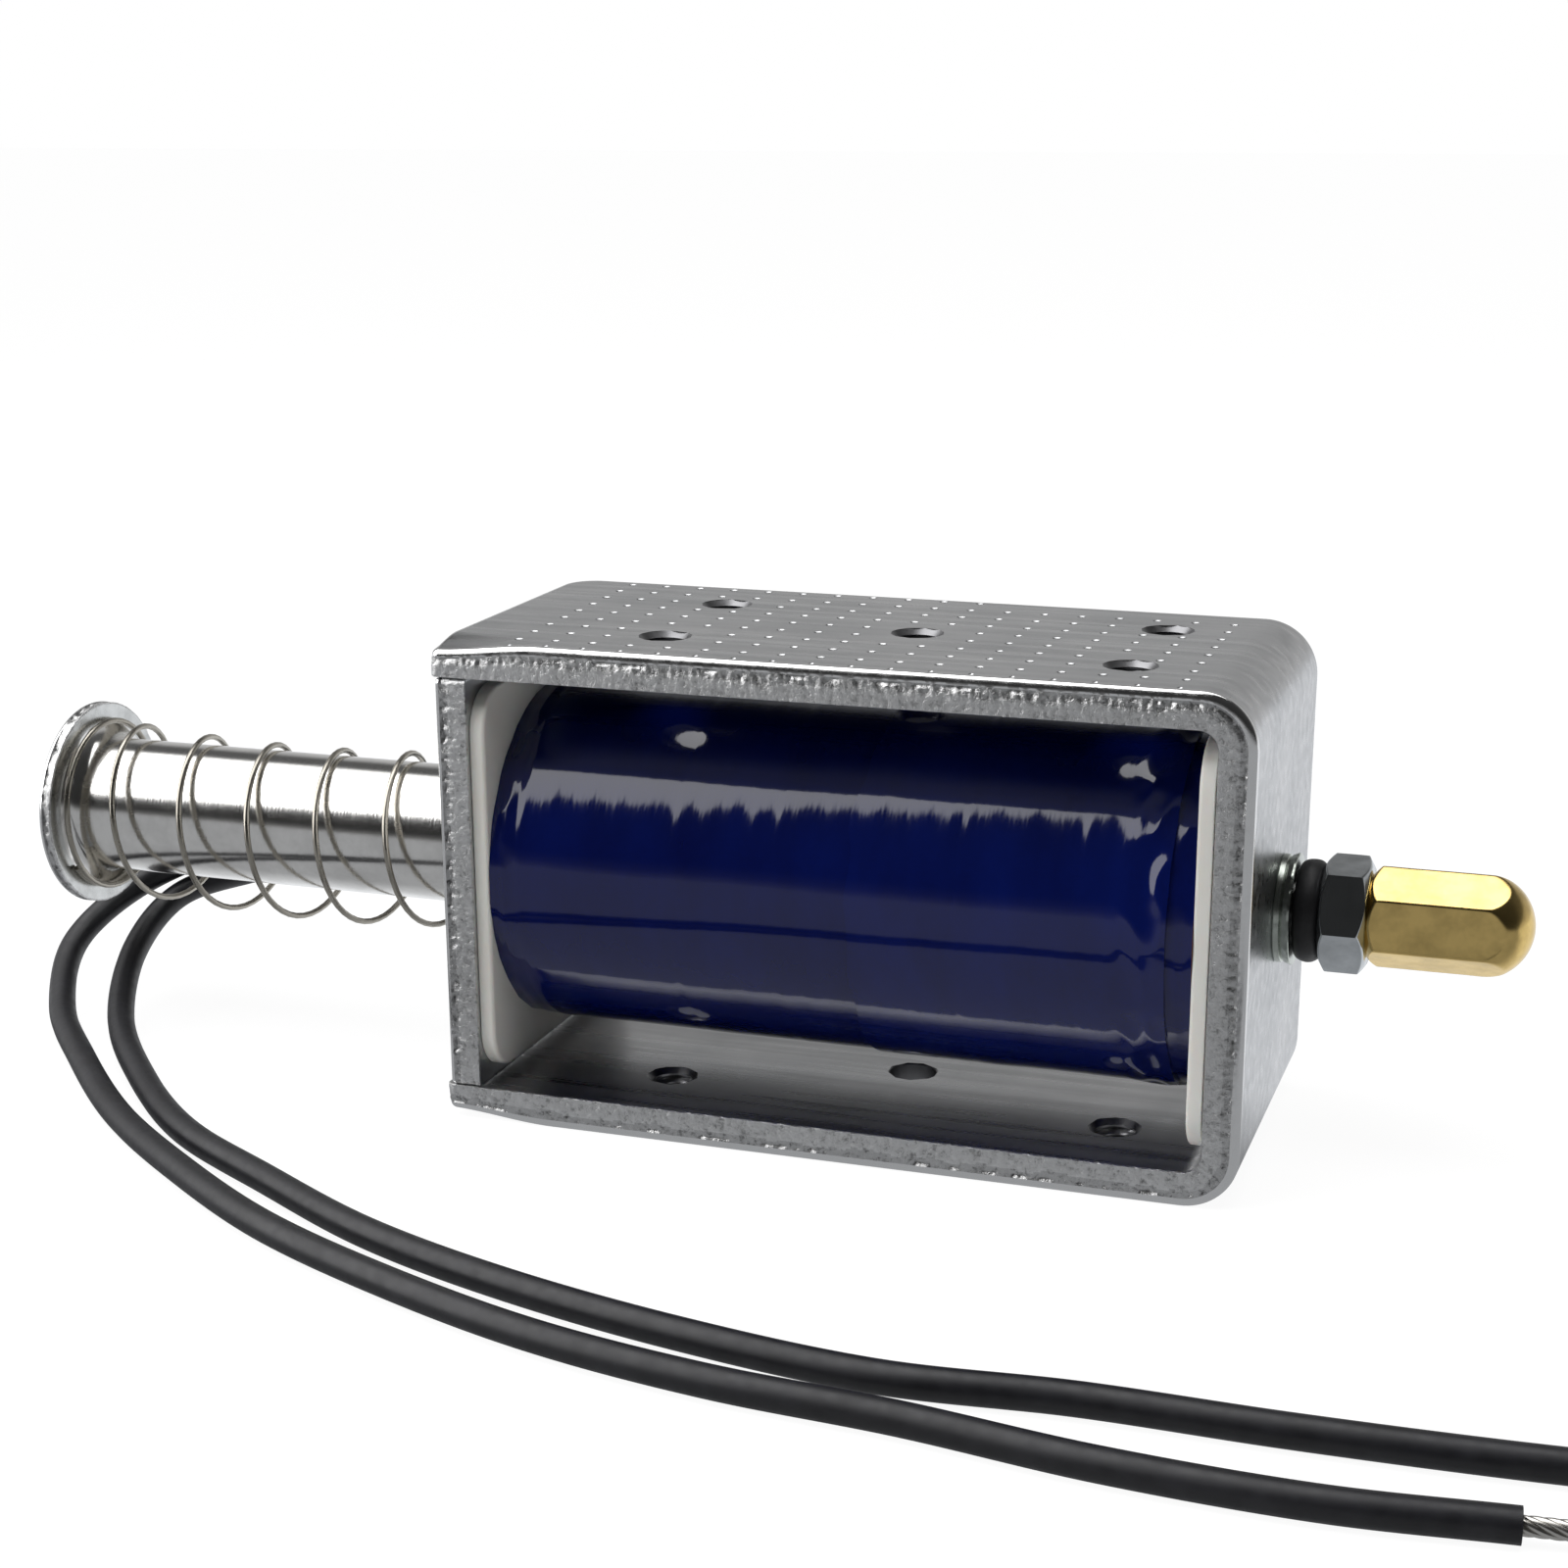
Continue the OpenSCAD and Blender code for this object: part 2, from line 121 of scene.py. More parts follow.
class Shader:
    """Builds the node tree of one material."""

    def __init__(self, name: str) -> None:
        """Starts a material with a Principled shader.

        Args:
            name: Name of the material.
        """
        self.material = bpy.data.materials.new(name)
        self.material.use_nodes = True
        self.tree = self.material.node_tree
        self.tree.nodes.clear()
        self.output = self.tree.nodes.new("ShaderNodeOutputMaterial")
        self.surface = self.tree.nodes.new("ShaderNodeBsdfPrincipled")
        self.join(self.surface.outputs[0], self.output.inputs[0])
        self.place = self.tree.nodes.new("ShaderNodeTexCoord").outputs["Object"]

    def join(self, source: bpy.types.NodeSocket, target: bpy.types.NodeSocket) -> None:
        """Links two sockets."""
        self.tree.links.new(source, target)

    def set(self, **values: float | tuple[float, ...]) -> None:
        """Sets the Principled shader's own sockets; underscores stand for spaces."""
        for key, value in values.items():
            self.surface.inputs[key.replace("_", " ")].default_value = value

    def stretch(self, scale: tuple[float, float, float],
                turn: tuple[float, float, float] = (0, 0, 0),
                shift: tuple[float, float, float] = (0, 0, 0)) -> bpy.types.NodeSocket:
        """Scales, turns and moves the object coordinates.

        Args:
            scale: Factor along each axis.
            turn: Rotation in radians.
            shift: Location in metres.

        Returns:
            The mapped vector.
        """
        node = self.tree.nodes.new("ShaderNodeMapping")
        node.inputs["Scale"].default_value = scale
        node.inputs["Rotation"].default_value = turn
        node.inputs["Location"].default_value = shift
        self.join(self.place, node.inputs["Vector"])
        return node.outputs[0]

    def noise(self, scale: float, detail: float = 3, rough: float = 0.5,
              vector: bpy.types.NodeSocket | None = None,
              distortion: float = 0.0) -> bpy.types.NodeSocket:
        """Adds a noise texture and returns its value."""
        node = self.tree.nodes.new("ShaderNodeTexNoise")
        node.inputs["Scale"].default_value = scale
        node.inputs["Detail"].default_value = detail
        node.inputs["Roughness"].default_value = rough
        node.inputs["Distortion"].default_value = distortion
        self.join(vector or self.place, node.inputs["Vector"])
        return node.outputs[0]

    def ramp(self, value: bpy.types.NodeSocket,
             stops: Sequence[tuple[float, tuple[float, float, float] | float]]
             ) -> bpy.types.NodeSocket:
        """Maps a value through colour stops.

        Args:
            value: The value to map.
            stops: Position and colour or grey of each stop.

        Returns:
            The mapped colour.
        """
        node = self.tree.nodes.new("ShaderNodeValToRGB")
        elements = node.color_ramp.elements
        while len(elements) < len(stops):
            elements.new(0.5)
        for element, (position, colour) in zip(elements, stops):
            element.position = position
            grey = isinstance(colour, (int, float))
            element.color = (colour,) * 3 + (1,) if grey else (*colour, 1)
        self.join(value, node.inputs[0])
        return node.outputs[0]

    def maths(self, operation: str, first: bpy.types.NodeSocket,
              second: bpy.types.NodeSocket | float) -> bpy.types.NodeSocket:
        """Combines two values."""
        node = self.tree.nodes.new("ShaderNodeMath")
        node.operation = operation
        self.join(first, node.inputs[0])
        if isinstance(second, (int, float)):
            node.inputs[1].default_value = second
        else:
            self.join(second, node.inputs[1])
        return node.outputs[0]

    def mix(self, factor: bpy.types.NodeSocket, first: bpy.types.NodeSocket,
            second: bpy.types.NodeSocket) -> bpy.types.NodeSocket:
        """Mixes two colours by a factor."""
        node = self.tree.nodes.new("ShaderNodeMix")
        node.data_type = "RGBA"
        self.join(factor, node.inputs["Factor"])
        self.join(first, node.inputs[6])
        self.join(second, node.inputs[7])
        return node.outputs[2]

    def bump(self, height: bpy.types.NodeSocket, strength: float, depth: float) -> None:
        """Adds a bump to the surface, over any bump already there.

        Args:
            height: Height field.
            strength: Strength from 0 to 1.
            depth: Height of the field's whole range, in metres.
        """
        node = self.tree.nodes.new("ShaderNodeBump")
        node.inputs["Strength"].default_value = strength
        node.inputs["Distance"].default_value = depth
        self.join(height, node.inputs["Height"])
        normal = self.surface.inputs["Normal"]
        if normal.is_linked:
            self.join(normal.links[0].from_socket, node.inputs["Normal"])
        self.join(node.outputs[0], normal)

    def colour(self, source: bpy.types.NodeSocket) -> None:
        """Drives the base colour."""
        self.join(source, self.surface.inputs["Base Color"])

    def roughness(self, source: bpy.types.NodeSocket) -> None:
        """Drives the roughness."""
        self.join(source, self.surface.inputs["Roughness"])


@dataclass(frozen=True)
class ZincSheet:
    """Zinc-plated sheet: satin, with blotches and faint rolling lines.

    Attributes:
        name: Name of the material.
        dark: Grey of the dark blotches.
        light: Grey of the light ones.
        rough: Mean roughness.
    """

    name: str = "zinc sheet"
    dark: float = 0.5
    light: float = 0.66
    rough: float = 0.3

    def build(self) -> bpy.types.Material:
        """Makes the material."""
        s = Shader(self.name)
        blotch = s.noise(90, 4, 0.6)
        s.colour(s.ramp(blotch, [(0.3, (self.dark * 0.98, self.dark, self.dark * 1.02)),
                                 (0.72, (self.light, self.light, self.light * 1.01))]))
        lines = s.noise(900, 2, 0.5, s.stretch((0.04, 1, 1)))
        s.roughness(s.ramp(lines, [(0.3, self.rough - 0.06), (0.7, self.rough + 0.08)]))
        s.bump(lines, 0.25, 0.00002)
        s.bump(s.noise(2600, 2, 0.5), 0.12, 0.00002)
        s.set(Metallic=1.0)
        return s.material


@dataclass(frozen=True)
class RolledEdge:
    """The smooth edge that the punch draws in, lighter than the sheet as a painted highlight."""

    name: str = "rolled edge"
    grey: float = 0.86
    rough: float = 0.14

    def build(self) -> bpy.types.Material:
        """Makes the material."""
        s = Shader(self.name)
        # Lighter grey than the sheet: painted highlight on the rounded edge; its low roughness is
        # real.
        s.set(Metallic=1.0, Base_Color=(self.grey, self.grey, self.grey, 1))
        s.roughness(s.ramp(s.noise(1500, 2), [(0.3, self.rough), (0.8, self.rough + 0.12)]))
        s.bump(s.noise(1300, 3, 0.6), 0.25, 0.00004)
        return s.material


@dataclass(frozen=True)
class ShearedEdge:
    """The sheared face of a punched sheet.

    Attributes:
        name: Name of the material.
        dark: Grey of its pits, painted shade.
        light: Grey of its crests, painted highlight.
        rough: Mean roughness.
    """

    name: str = "sheared edge"
    dark: float = 0.3
    light: float = 0.86
    rough: float = 0.36

    def build(self) -> bpy.types.Material:
        """Makes the material."""
        s = Shader(self.name)
        grain = s.noise(1500, 5, 0.7)
        pits = s.noise(2600, 3, 0.8, distortion=0.6)
        # The colour follows the bump's own noise: painted shade in the pits and painted highlight
        # on the crests.
        painted_pit_shade_and_highlight = s.maths("MULTIPLY", grain, pits)
        s.colour(s.ramp(painted_pit_shade_and_highlight, [(0.12, self.dark), (0.22, self.light * 0.85),
                               (0.4, self.light)]))
        s.roughness(s.ramp(pits, [(0.3, self.rough + 0.1), (0.7, self.rough - 0.06)]))
        s.bump(grain, 0.7, 0.0001)
        s.bump(pits, 0.7, 0.00008)
        s.set(Metallic=1.0)
        return s.material


@dataclass(frozen=True)
class TurnedMetal:
    """Bright turned or drawn metal with fine rings about the plunger axis."""

    name: str
    colour: tuple[float, float, float]
    rough: float = 0.14
    rings: float = 0.2
    mottle: float = 0.04

    def build(self) -> bpy.types.Material:
        """Makes the material."""
        s = Shader(self.name)
        blot = s.noise(350, 4, 0.65)
        low = tuple(c * (1 - self.mottle * 3) for c in self.colour)
        s.colour(s.ramp(blot, [(0.32, low), (0.6, self.colour)]))
        lines = s.noise(4200, 2, 0.6, s.stretch((1, 0.12, 0.12)))
        s.roughness(s.ramp(blot, [(0.3, self.rough + 0.05), (0.7, self.rough)]))
        s.bump(lines, self.rings, 0.00003)
        s.bump(s.noise(1100, 3, 0.6), self.rings * 0.8, 0.00003)
        s.set(Metallic=1.0)
        return s.material


@dataclass(frozen=True)
class Nylon:
    """White moulded nylon."""

    name: str = "white nylon"

    def build(self) -> bpy.types.Material:
        """Makes the material."""
        s = Shader(self.name)
        s.colour(s.ramp(s.noise(60, 2), [(0.3, (0.74, 0.72, 0.67)), (0.7, (0.8, 0.79, 0.75))]))
        s.roughness(s.ramp(s.noise(900, 3), [(0.3, 0.38), (0.7, 0.5)]))
        s.bump(s.noise(1400, 3, 0.6), 0.1, 0.00003)
        s.set(Subsurface_Weight=0.12, Subsurface_Scale=0.001)
        return s.material


@dataclass(frozen=True)
class TapeFilm:
    """Glossy blue polyester tape over dark layers, with small creases.

    Attributes:
        name: Name of the material.
        deep: Colour where the layers lie thick.
        clear: Colour where they lie thin.
        crease: Strength of the fine creases.
    """

    name: str = "blue tape"
    deep: tuple[float, float, float] = (0.0008, 0.0032, 0.05)
    clear: tuple[float, float, float] = (0.0012, 0.0055, 0.078)
    crease: float = 0.12

    def build(self) -> bpy.types.Material:
        """Makes the material."""
        s = Shader(self.name)
        layers = s.noise(110, 3, 0.55, s.stretch((1.6, 0.7, 0.7)))
        s.colour(s.ramp(layers, [(0.3, self.deep), (0.7, self.clear)]))
        s.set(Roughness=0.09, Coat_Weight=0.3, Coat_Roughness=0.03, Coat_IOR=1.5)
        s.bump(s.noise(420, 3, 0.55, s.stretch((1.5, 0.5, 0.5))), self.crease, 0.00008)
        s.bump(s.noise(1000, 2, 0.5, s.stretch((1, 0.2, 0.2))), self.crease * 3, 0.00005)
        return s.material


@dataclass(frozen=True)
class Rubber:
    """Black rubber or vinyl with a soft sheen."""

    name: str
    colour: tuple[float, float, float] = (0.008, 0.008, 0.009)
    rough: float = 0.5
    grain: float = 0.2

    def build(self) -> bpy.types.Material:
        """Makes the material."""
        s = Shader(self.name)
        light = tuple(c * 1.7 + 0.002 for c in self.colour)
        s.colour(s.ramp(s.noise(500, 3), [(0.35, self.colour), (0.75, light)]))
        s.roughness(s.ramp(s.noise(1200, 3), [(0.3, self.rough - 0.06), (0.7, self.rough + 0.06)]))
        s.bump(s.noise(2200, 3, 0.6), self.grain, 0.00003)
        return s.material


@dataclass(frozen=True)
class PlainMetal:
    """A plain metal for pieces that hardly show."""

    name: str
    colour: tuple[float, float, float]
    rough: float = 0.3

    def build(self) -> bpy.types.Material:
        """Makes the material."""
        s = Shader(self.name)
        s.colour(s.ramp(s.noise(300, 3), [(0.3, tuple(c * 0.8 for c in self.colour)),
                                          (0.7, self.colour)]))
        s.roughness(s.ramp(s.noise(900, 2), [(0.3, self.rough), (0.7, self.rough + 0.1)]))
        s.set(Metallic=1.0)
        return s.material


@dataclass
class Finishes:
    """Every material of the part, made once."""

    sheet: bpy.types.Material = field(default_factory=lambda: ZincSheet().build())
    plate: bpy.types.Material = field(
        default_factory=lambda: ZincSheet("end plate zinc", 0.46, 0.6, 0.34).build())
    roll: bpy.types.Material = field(default_factory=lambda: RolledEdge().build())
    sheared: bpy.types.Material = field(default_factory=lambda: ShearedEdge().build())
    # The torn edge is a darker copy of the sheared edge: painted shade on the upper part of the
    # wall.
    torn: bpy.types.Material = field(default_factory=lambda: ShearedEdge(
        "torn edge with painted shade", 0.1, 0.66, 0.3).build())
    # Thread steel is darker than the sheet: painted shade inside the tapped holes.
    thread: bpy.types.Material = field(default_factory=lambda: PlainMetal(
        "thread steel with painted shade", (0.3, 0.3, 0.31), 0.34).build())
    nylon: bpy.types.Material = field(default_factory=lambda: Nylon().build())
    tape: bpy.types.Material = field(default_factory=lambda: TapeFilm().build())
    patch: bpy.types.Material = field(default_factory=lambda: TapeFilm(
        "blue tape patch", (0.001, 0.004, 0.058), (0.0014, 0.0065, 0.088), 0.14).build())
    steel: bpy.types.Material = field(default_factory=lambda: TurnedMetal(
        "plated plunger steel", (0.9, 0.89, 0.87), 0.13).build())
    disc: bpy.types.Material = field(default_factory=lambda: TurnedMetal(
        "plated flange steel", (0.74, 0.75, 0.74), 0.24, 0.1, 0.08).build())
    spring: bpy.types.Material = field(default_factory=lambda: PlainMetal(
        "spring wire", (0.5, 0.47, 0.41), 0.24).build())
    core: bpy.types.Material = field(default_factory=lambda: TurnedMetal(
        "core steel", (0.56, 0.6, 0.55), 0.22, 0.4, 0.1).build())
    rod: bpy.types.Material = field(default_factory=lambda: TurnedMetal(
        "rod steel", (0.72, 0.72, 0.72), 0.2).build())
    nut: bpy.types.Material = field(default_factory=lambda: TurnedMetal(
        "nut zinc", (0.62, 0.65, 0.67), 0.15, 0.1, 0.07).build())
    brass: bpy.types.Material = field(default_factory=lambda: TurnedMetal(
        "bright brass", (0.83, 0.6, 0.22), 0.17, 0.15, 0.08).build())
    tube: bpy.types.Material = field(default_factory=lambda: PlainMetal(
        "guide tube brass", (0.7, 0.52, 0.24), 0.25).build())
    copper: bpy.types.Material = field(default_factory=lambda: PlainMetal(
        "enamelled copper", (0.6, 0.25, 0.1), 0.3).build())
    tinned: bpy.types.Material = field(default_factory=lambda: PlainMetal(
        "tinned copper", (0.72, 0.7, 0.66), 0.26).build())
    rubber: bpy.types.Material = field(default_factory=lambda: Rubber("black rubber").build())
    vinyl: bpy.types.Material = field(default_factory=lambda: Rubber(
        "black vinyl", (0.007, 0.007, 0.009), 0.46, 0.08).build())
    film: bpy.types.Material = field(default_factory=lambda: Rubber(
        "washer film", (0.55, 0.48, 0.28), 0.5).build())


# ---------------------------------------------------------------- mesh tools


def solid(bm: bmesh.types.BMesh, name: str, materials: Sequence[bpy.types.Material],
          crease_deg: float = 28.0) -> bpy.types.Object:
    """Turns a closed bmesh in millimetres into a finished object in metres.

    Args:
        bm: The mesh, which is freed.
        name: Name of the object.
        materials: Its material slots.
        crease_deg: Edges sharper than this stay sharp.

    Returns:
        The object, at the origin, unturned and unscaled.
    """
    bmesh.ops.remove_doubles(bm, verts=bm.verts, dist=1e-4)
    bmesh.ops.recalc_face_normals(bm, faces=bm.faces)
    bmesh.ops.scale(bm, vec=(MM, MM, MM), verts=bm.verts)
    limit = math.radians(crease_deg)
    for edge in bm.edges:
        edge.smooth = len(edge.link_faces) == 2 and edge.calc_face_angle(0.0) < limit
    for face in bm.faces:
        face.smooth = True
    mesh = bpy.data.meshes.new(name)
    bm.to_mesh(mesh)
    bm.free()
    for material in materials:
        mesh.materials.append(material)
    obj = bpy.data.objects.new(name, mesh)
    bpy.context.scene.collection.objects.link(obj)
    return obj


def skin_rows(bm: bmesh.types.BMesh, rows: Sequence[Sequence[bmesh.types.BMVert]],
              skin: int = 0, closed: bool = True) -> None:
    """Joins neighbouring rows of vertices with quads.

    Args:
        bm: The mesh.
        rows: Rows of equal length.
        skin: Material slot of the quads.
        closed: Whether each row is a loop.
    """
    for low, high in zip(rows, rows[1:]):
        count = len(low)
        for i in range(count if closed else count - 1):
            j = (i + 1) % count
            quad = [low[i], low[j], high[j], high[i]]
            if len(set(quad)) == 4:
                bm.faces.new(quad).material_index = skin


def lathe(profile: Sequence[Point2], sides: int = 96,
          wobble: Callable[[float, float, float], float] | None = None
          ) -> bmesh.types.BMesh:
    """Turns a closed profile about the plunger axis.

    Args:
        profile: Points of x and radius; a radius of 0 is a pole.
        sides: Number of sides.
        wobble: Added radius at x, radius and angle.

    Returns:
        The mesh, in millimetres.
    """
    bm = bmesh.new()
    rows = []
    for x, radius in profile:
        if radius < 1e-6:
            pole = bm.verts.new(about_axis(x, 0, 0))
            rows.append([pole] * sides)
            continue
        row = []
        for k in range(sides):
            angle = math.tau * k / sides
            extra = wobble(x, radius, angle) if wobble else 0.0
            row.append(bm.verts.new(about_axis(x, radius + extra, angle)))
        rows.append(row)
    if profile[0][1] > 0:
        rows.append(rows[0])
    for low, high in zip(rows, rows[1:]):
        for k in range(sides):
            j = (k + 1) % sides
            corners = list(dict.fromkeys([low[k], low[j], high[j], high[k]]))
            if len(corners) > 2:
                bm.faces.new(corners)
    return bm


def arc(cx: float, cy: float, radius: float, start: float, end: float,
        steps: int) -> list[Point2]:
    """Points on an arc, both ends included; the angles are in degrees."""
    return [(cx + radius * math.cos(math.radians(start + (end - start) * i / steps)),
             cy + radius * math.sin(math.radians(start + (end - start) * i / steps)))
            for i in range(steps + 1)]


def steps_between(start: float, end: float, step: float) -> list[float]:
    """Evenly spaced values from start to end, no further apart than step."""
    count = max(1, math.ceil(abs(end - start) / step))
    return [start + (end - start) * i / count for i in range(count + 1)]


@dataclass
class Hole:
    """A round hole through a sheet.

    Attributes:
        s: Place along the sheet.
        y: Place across it.
        wall: Radius of the wall.
        mouth: Radius of the chamfer at either face.
        pitch: Thread pitch, or 0 for a plain wall.
    """

    s: float
    y: float
    wall: float
    mouth: float
    pitch: float = 0.0
    sides: int = 40

    def ring(self, radius: float) -> list[Point2]:
        """Plan points of a circle about the hole."""
        return [(self.s + radius * math.cos(math.tau * k / self.sides),
                 self.y + radius * math.sin(math.tau * k / self.sides))
                for k in range(self.sides)]

    def rows(self, thickness: float) -> list[tuple[list[Point2], float]]:
        """Plan rings and depths from the outer face to the inner one.

        Args:
            thickness: Thickness of the sheet.

        Returns:
            Each ring's plan points and its depth.
        """
        chamfer = self.mouth - self.wall
        if not self.pitch:
            depths = [0.0, chamfer, thickness - chamfer, thickness]
            radii = [self.mouth, self.wall, self.wall, self.mouth]
            return [(self.ring(r), d) for r, d in zip(radii, depths)]
        result = [(self.ring(self.mouth), 0.0)]
        crest = 0.54 * self.pitch
        for depth in steps_between(chamfer, thickness - chamfer, self.pitch / 6):
            edge = min(depth - chamfer, thickness - chamfer - depth) / self.pitch
            fade = smoothstep(0.0, 0.3, edge)
            points = []
            for k in range(self.sides):
                turn = k / self.sides
                phase = (depth / self.pitch - turn) % 1.0
                radius = self.wall + crest * fade * (1 - abs(2 * phase - 1))
                angle = math.tau * turn
                points.append((self.s + radius * math.cos(angle),
                               self.y + radius * math.sin(angle)))
            result.append((points, depth))
        result.append((self.ring(self.mouth), thickness))
        return result


@dataclass
class PunchedSheet:
    """A punched sheet, drawn in plan and then placed or bent.

    Attributes:
        outline: Plan outline, closely spaced, each point with its inward direction.
        thickness: Sheet thickness.
        place: Maps place along, place across and depth to the part's frame.
        roll_in: Width of the rolled edge on the outer face.
        roll_down: Depth of the rolled edge.
        holes: Round holes.
        dimples: Plan places and radii of the flattening dimples.
        creases: Pairs of outline points joined straight across, where a bend steps.
        tear: Height of the torn wall's bumps.
        tear_scale: Bumps per millimetre.
        torn_depth: Width of the torn part of the wall, which has a darker finish as painted shade.
        draft: How far the wall leans back under the rolled edge.
        wall_rows: Rows on the wall.
    """

    outline: list[tuple[Point2, Point2]]
    thickness: float
    place: Place
    roll_in: float
    roll_down: float
    holes: list[Hole] = field(default_factory=list)
    dimples: list[tuple[float, float, float]] = field(default_factory=list)
    creases: list[tuple[int, int]] = field(default_factory=list)
    tear: float = 0.0
    tear_scale: float = 2.4
    torn_depth: float = 0.7
    draft: float = 0.0
    wall_rows: int = 14
    dimple_depth: float = 0.1

    def loop(self, bm: bmesh.types.BMesh, inset: Sequence[float] | float,
             depth: float) -> list[bmesh.types.BMVert]:
        """Adds a loop of vertices that follows the outline at an inset and a depth."""
        values = [inset] * len(self.outline) if isinstance(inset, float) else inset
        return [bm.verts.new(self.place(p[0] + n[0] * v, p[1] + n[1] * v, depth))
                for (p, n), v in zip(self.outline, values)]

    def tear_line(self, along: int) -> float:
        """Depth at which the torn part of the wall, darker as painted shade, ends."""
        (s, y), _ = self.outline[along]
        wander = 0.22 * ripple(s * 0.35, y * 0.35, 0, 3.0) + 0.1 * ripple(s, y, 0, 8.0)
        return self.roll_down + self.torn_depth * (1 + wander / 0.4)

    def wall_inset(self, along: int, depth: float) -> float:
        """How far the wall stands back at an outline point and a depth."""
        (s, y), _ = self.outline[along]
        k = self.tear_scale
        below = max(0.0, depth - self.roll_down)
        draft = self.draft * max(0.0, 1 - below / (self.torn_depth * 1.5)) ** 2
        streak = ripple(s * k, y * k, depth * 0.8)
        grain = ripple(s * k * 1.1, y * k * 1.1, depth * k, 7.0)
        rough = 1 - 0.7 * smoothstep(-0.15, 0.15, depth - self.tear_line(along))
        gap = smoothstep(0.05, 0.3, ripple(s * k * 0.35, y * k * 0.35, 0, 5.0))
        gap *= smoothstep(0.0, 0.06, below) * (1 - smoothstep(0.14, 0.3, below))
        fade = smoothstep(0.0, 0.1, below)
        scored = rough * fade * max(0.0, 0.6 + 1.5 * streak + 0.8 * grain)
        return draft + self.tear * scored + 1.6 * self.tear * gap

    def face(self, bm: bmesh.types.BMesh, inset: float, depth: float) -> None:
        """Fills the outer or the inner face between its edge, holes and dimples."""
        outer = depth < self.thickness / 2
        points = [Vector((p[0] + n[0] * inset, p[1] + n[1] * inset))
                  for p, n in self.outline]
        count = len(points)
        edges = [(i, (i + 1) % count) for i in range(count)]
        edges += self.creases
        voids: list[tuple[float, float, float]] = []
        rings = [(h.s, h.y, h.mouth, h.ring(h.mouth)) for h in self.holes]
        if outer:
            rings += [(s, y, r, [(p[0] + s, p[1] + y) for p in arc(0, 0, r, 0, 330, 11)])
                      for s, y, r in self.dimples]
        for s, y, radius, ring in rings:
            voids.append((s, y, radius))
            first = len(points)
            points += [Vector(p) for p in ring]
            edges += [(first + i, first + (i + 1) % len(ring)) for i in range(len(ring))]
        verts, _, faces, _, _, _ = delaunay_2d_cdt(points, edges, [], 1, 1e-7)
        made = [bm.verts.new(self.place(v.x, v.y, depth)) for v in verts]
        for triangle in faces:
            centre = sum((verts[i] for i in triangle), Vector((0, 0))) / len(triangle)
            if any((centre.x - s) ** 2 + (centre.y - y) ** 2 < (0.93 * r) ** 2
                   for s, y, r in voids):
                continue
            bm.faces.new([made[i] for i in triangle]).material_index = Skin.FACE.value

    def pit(self, bm: bmesh.types.BMesh, s: float, y: float, size: float) -> None:
        """Adds the bowl of one dimple."""
        rows = []
        for share, depth in ((1.0, 0.0), (0.8, 0.6), (0.45, 1.0)):
            rows.append([bm.verts.new(self.place(s + p[0], y + p[1],
                                                 depth * self.dimple_depth))
                         for p in arc(0, 0, size * share, 0, 330, 11)])
        skin_rows(bm, rows, Skin.FACE.value)
        bm.faces.new(rows[-1]).material_index = Skin.FACE.value

    def build(self, name: str, materials: Sequence[bpy.types.Material]) -> bpy.types.Object:
        """Makes the sheet.

        Args:
            name: Name of the object.
            materials: One material for each value of Skin.

        Returns:
            The finished object.
        """
        bm = bmesh.new()
        edge = 0.1
        burr = 0.06
        arc_steps = 6
        count = len(self.outline)
        rolled = self.roll_in + self.draft
        rows = [self.loop(bm, rolled + edge, 0.0)]
        for k in range(arc_steps + 1):
            turn = math.radians(90 * k / arc_steps)
            rows.append(self.loop(bm, rolled - self.roll_in * math.sin(turn),
                                  self.roll_down * (1 - math.cos(turn))))
        skin_rows(bm, rows, Skin.ROLL.value)
        wall = [rows[-1]]
        depths = steps_between(self.roll_down, self.thickness - burr,
                               self.thickness / self.wall_rows)
        for depth in depths[1:]:
            insets = [self.wall_inset(i, depth) for i in range(count)]
            wall.append(self.loop(bm, insets, depth))
        lines = [self.tear_line(i) for i in range(count)]
        for level, (low, high) in enumerate(zip(wall, wall[1:])):
            middle = (depths[level] + depths[level + 1]) / 2
            for i in range(count):
                j = (i + 1) % count
                face = bm.faces.new([low[i], low[j], high[j], high[i]])
                # Faces above the tear line take the torn finish, which is darker as painted shade.
                torn = self.tear > 0 and middle < lines[i]
                face.material_index = (Skin.TORN if torn else Skin.WALL).value
        inner = self.tear + burr
        bottom = [wall[-1], self.loop(bm, inner, self.thickness)]
        skin_rows(bm, bottom, Skin.WALL.value)
        skin_rows(bm, [bottom[-1], self.loop(bm, inner + edge, self.thickness)],
                  Skin.FACE.value)
        self.face(bm, rolled + edge, 0.0)
        self.face(bm, inner + edge, self.thickness)
        for hole in self.holes:
            rings = [[bm.verts.new(self.place(p[0], p[1], depth)) for p in ring]
                     for ring, depth in hole.rows(self.thickness)]
            skin_rows(bm, rings, Skin.HOLE.value)
        for dimple in self.dimples:
            self.pit(bm, *dimple)
        return solid(bm, name, materials)


def straight(start: Point2, end: Point2, values: Iterable[float]
             ) -> list[tuple[Point2, Point2]]:
    """Outline points along a straight side, with the inward direction on its left."""
    dx, dy = end[0] - start[0], end[1] - start[1]
    length = math.hypot(dx, dy)
    inward = (-dy / length, dx / length)
    return [((start[0] + dx * v / length, start[1] + dy * v / length), inward)
            for v in values]


def corner(cx: float, cy: float, radius: float, start_deg: float, steps: int
           ) -> list[tuple[Point2, Point2]]:
    """Outline points round a quarter corner, without its two ends."""
    result = []
    for i in range(1, steps):
        angle = math.radians(start_deg + 90 * i / steps)
        out = (math.cos(angle), math.sin(angle))
        result.append(((cx + radius * out[0], cy + radius * out[1]), (-out[0], -out[1])))
    return result


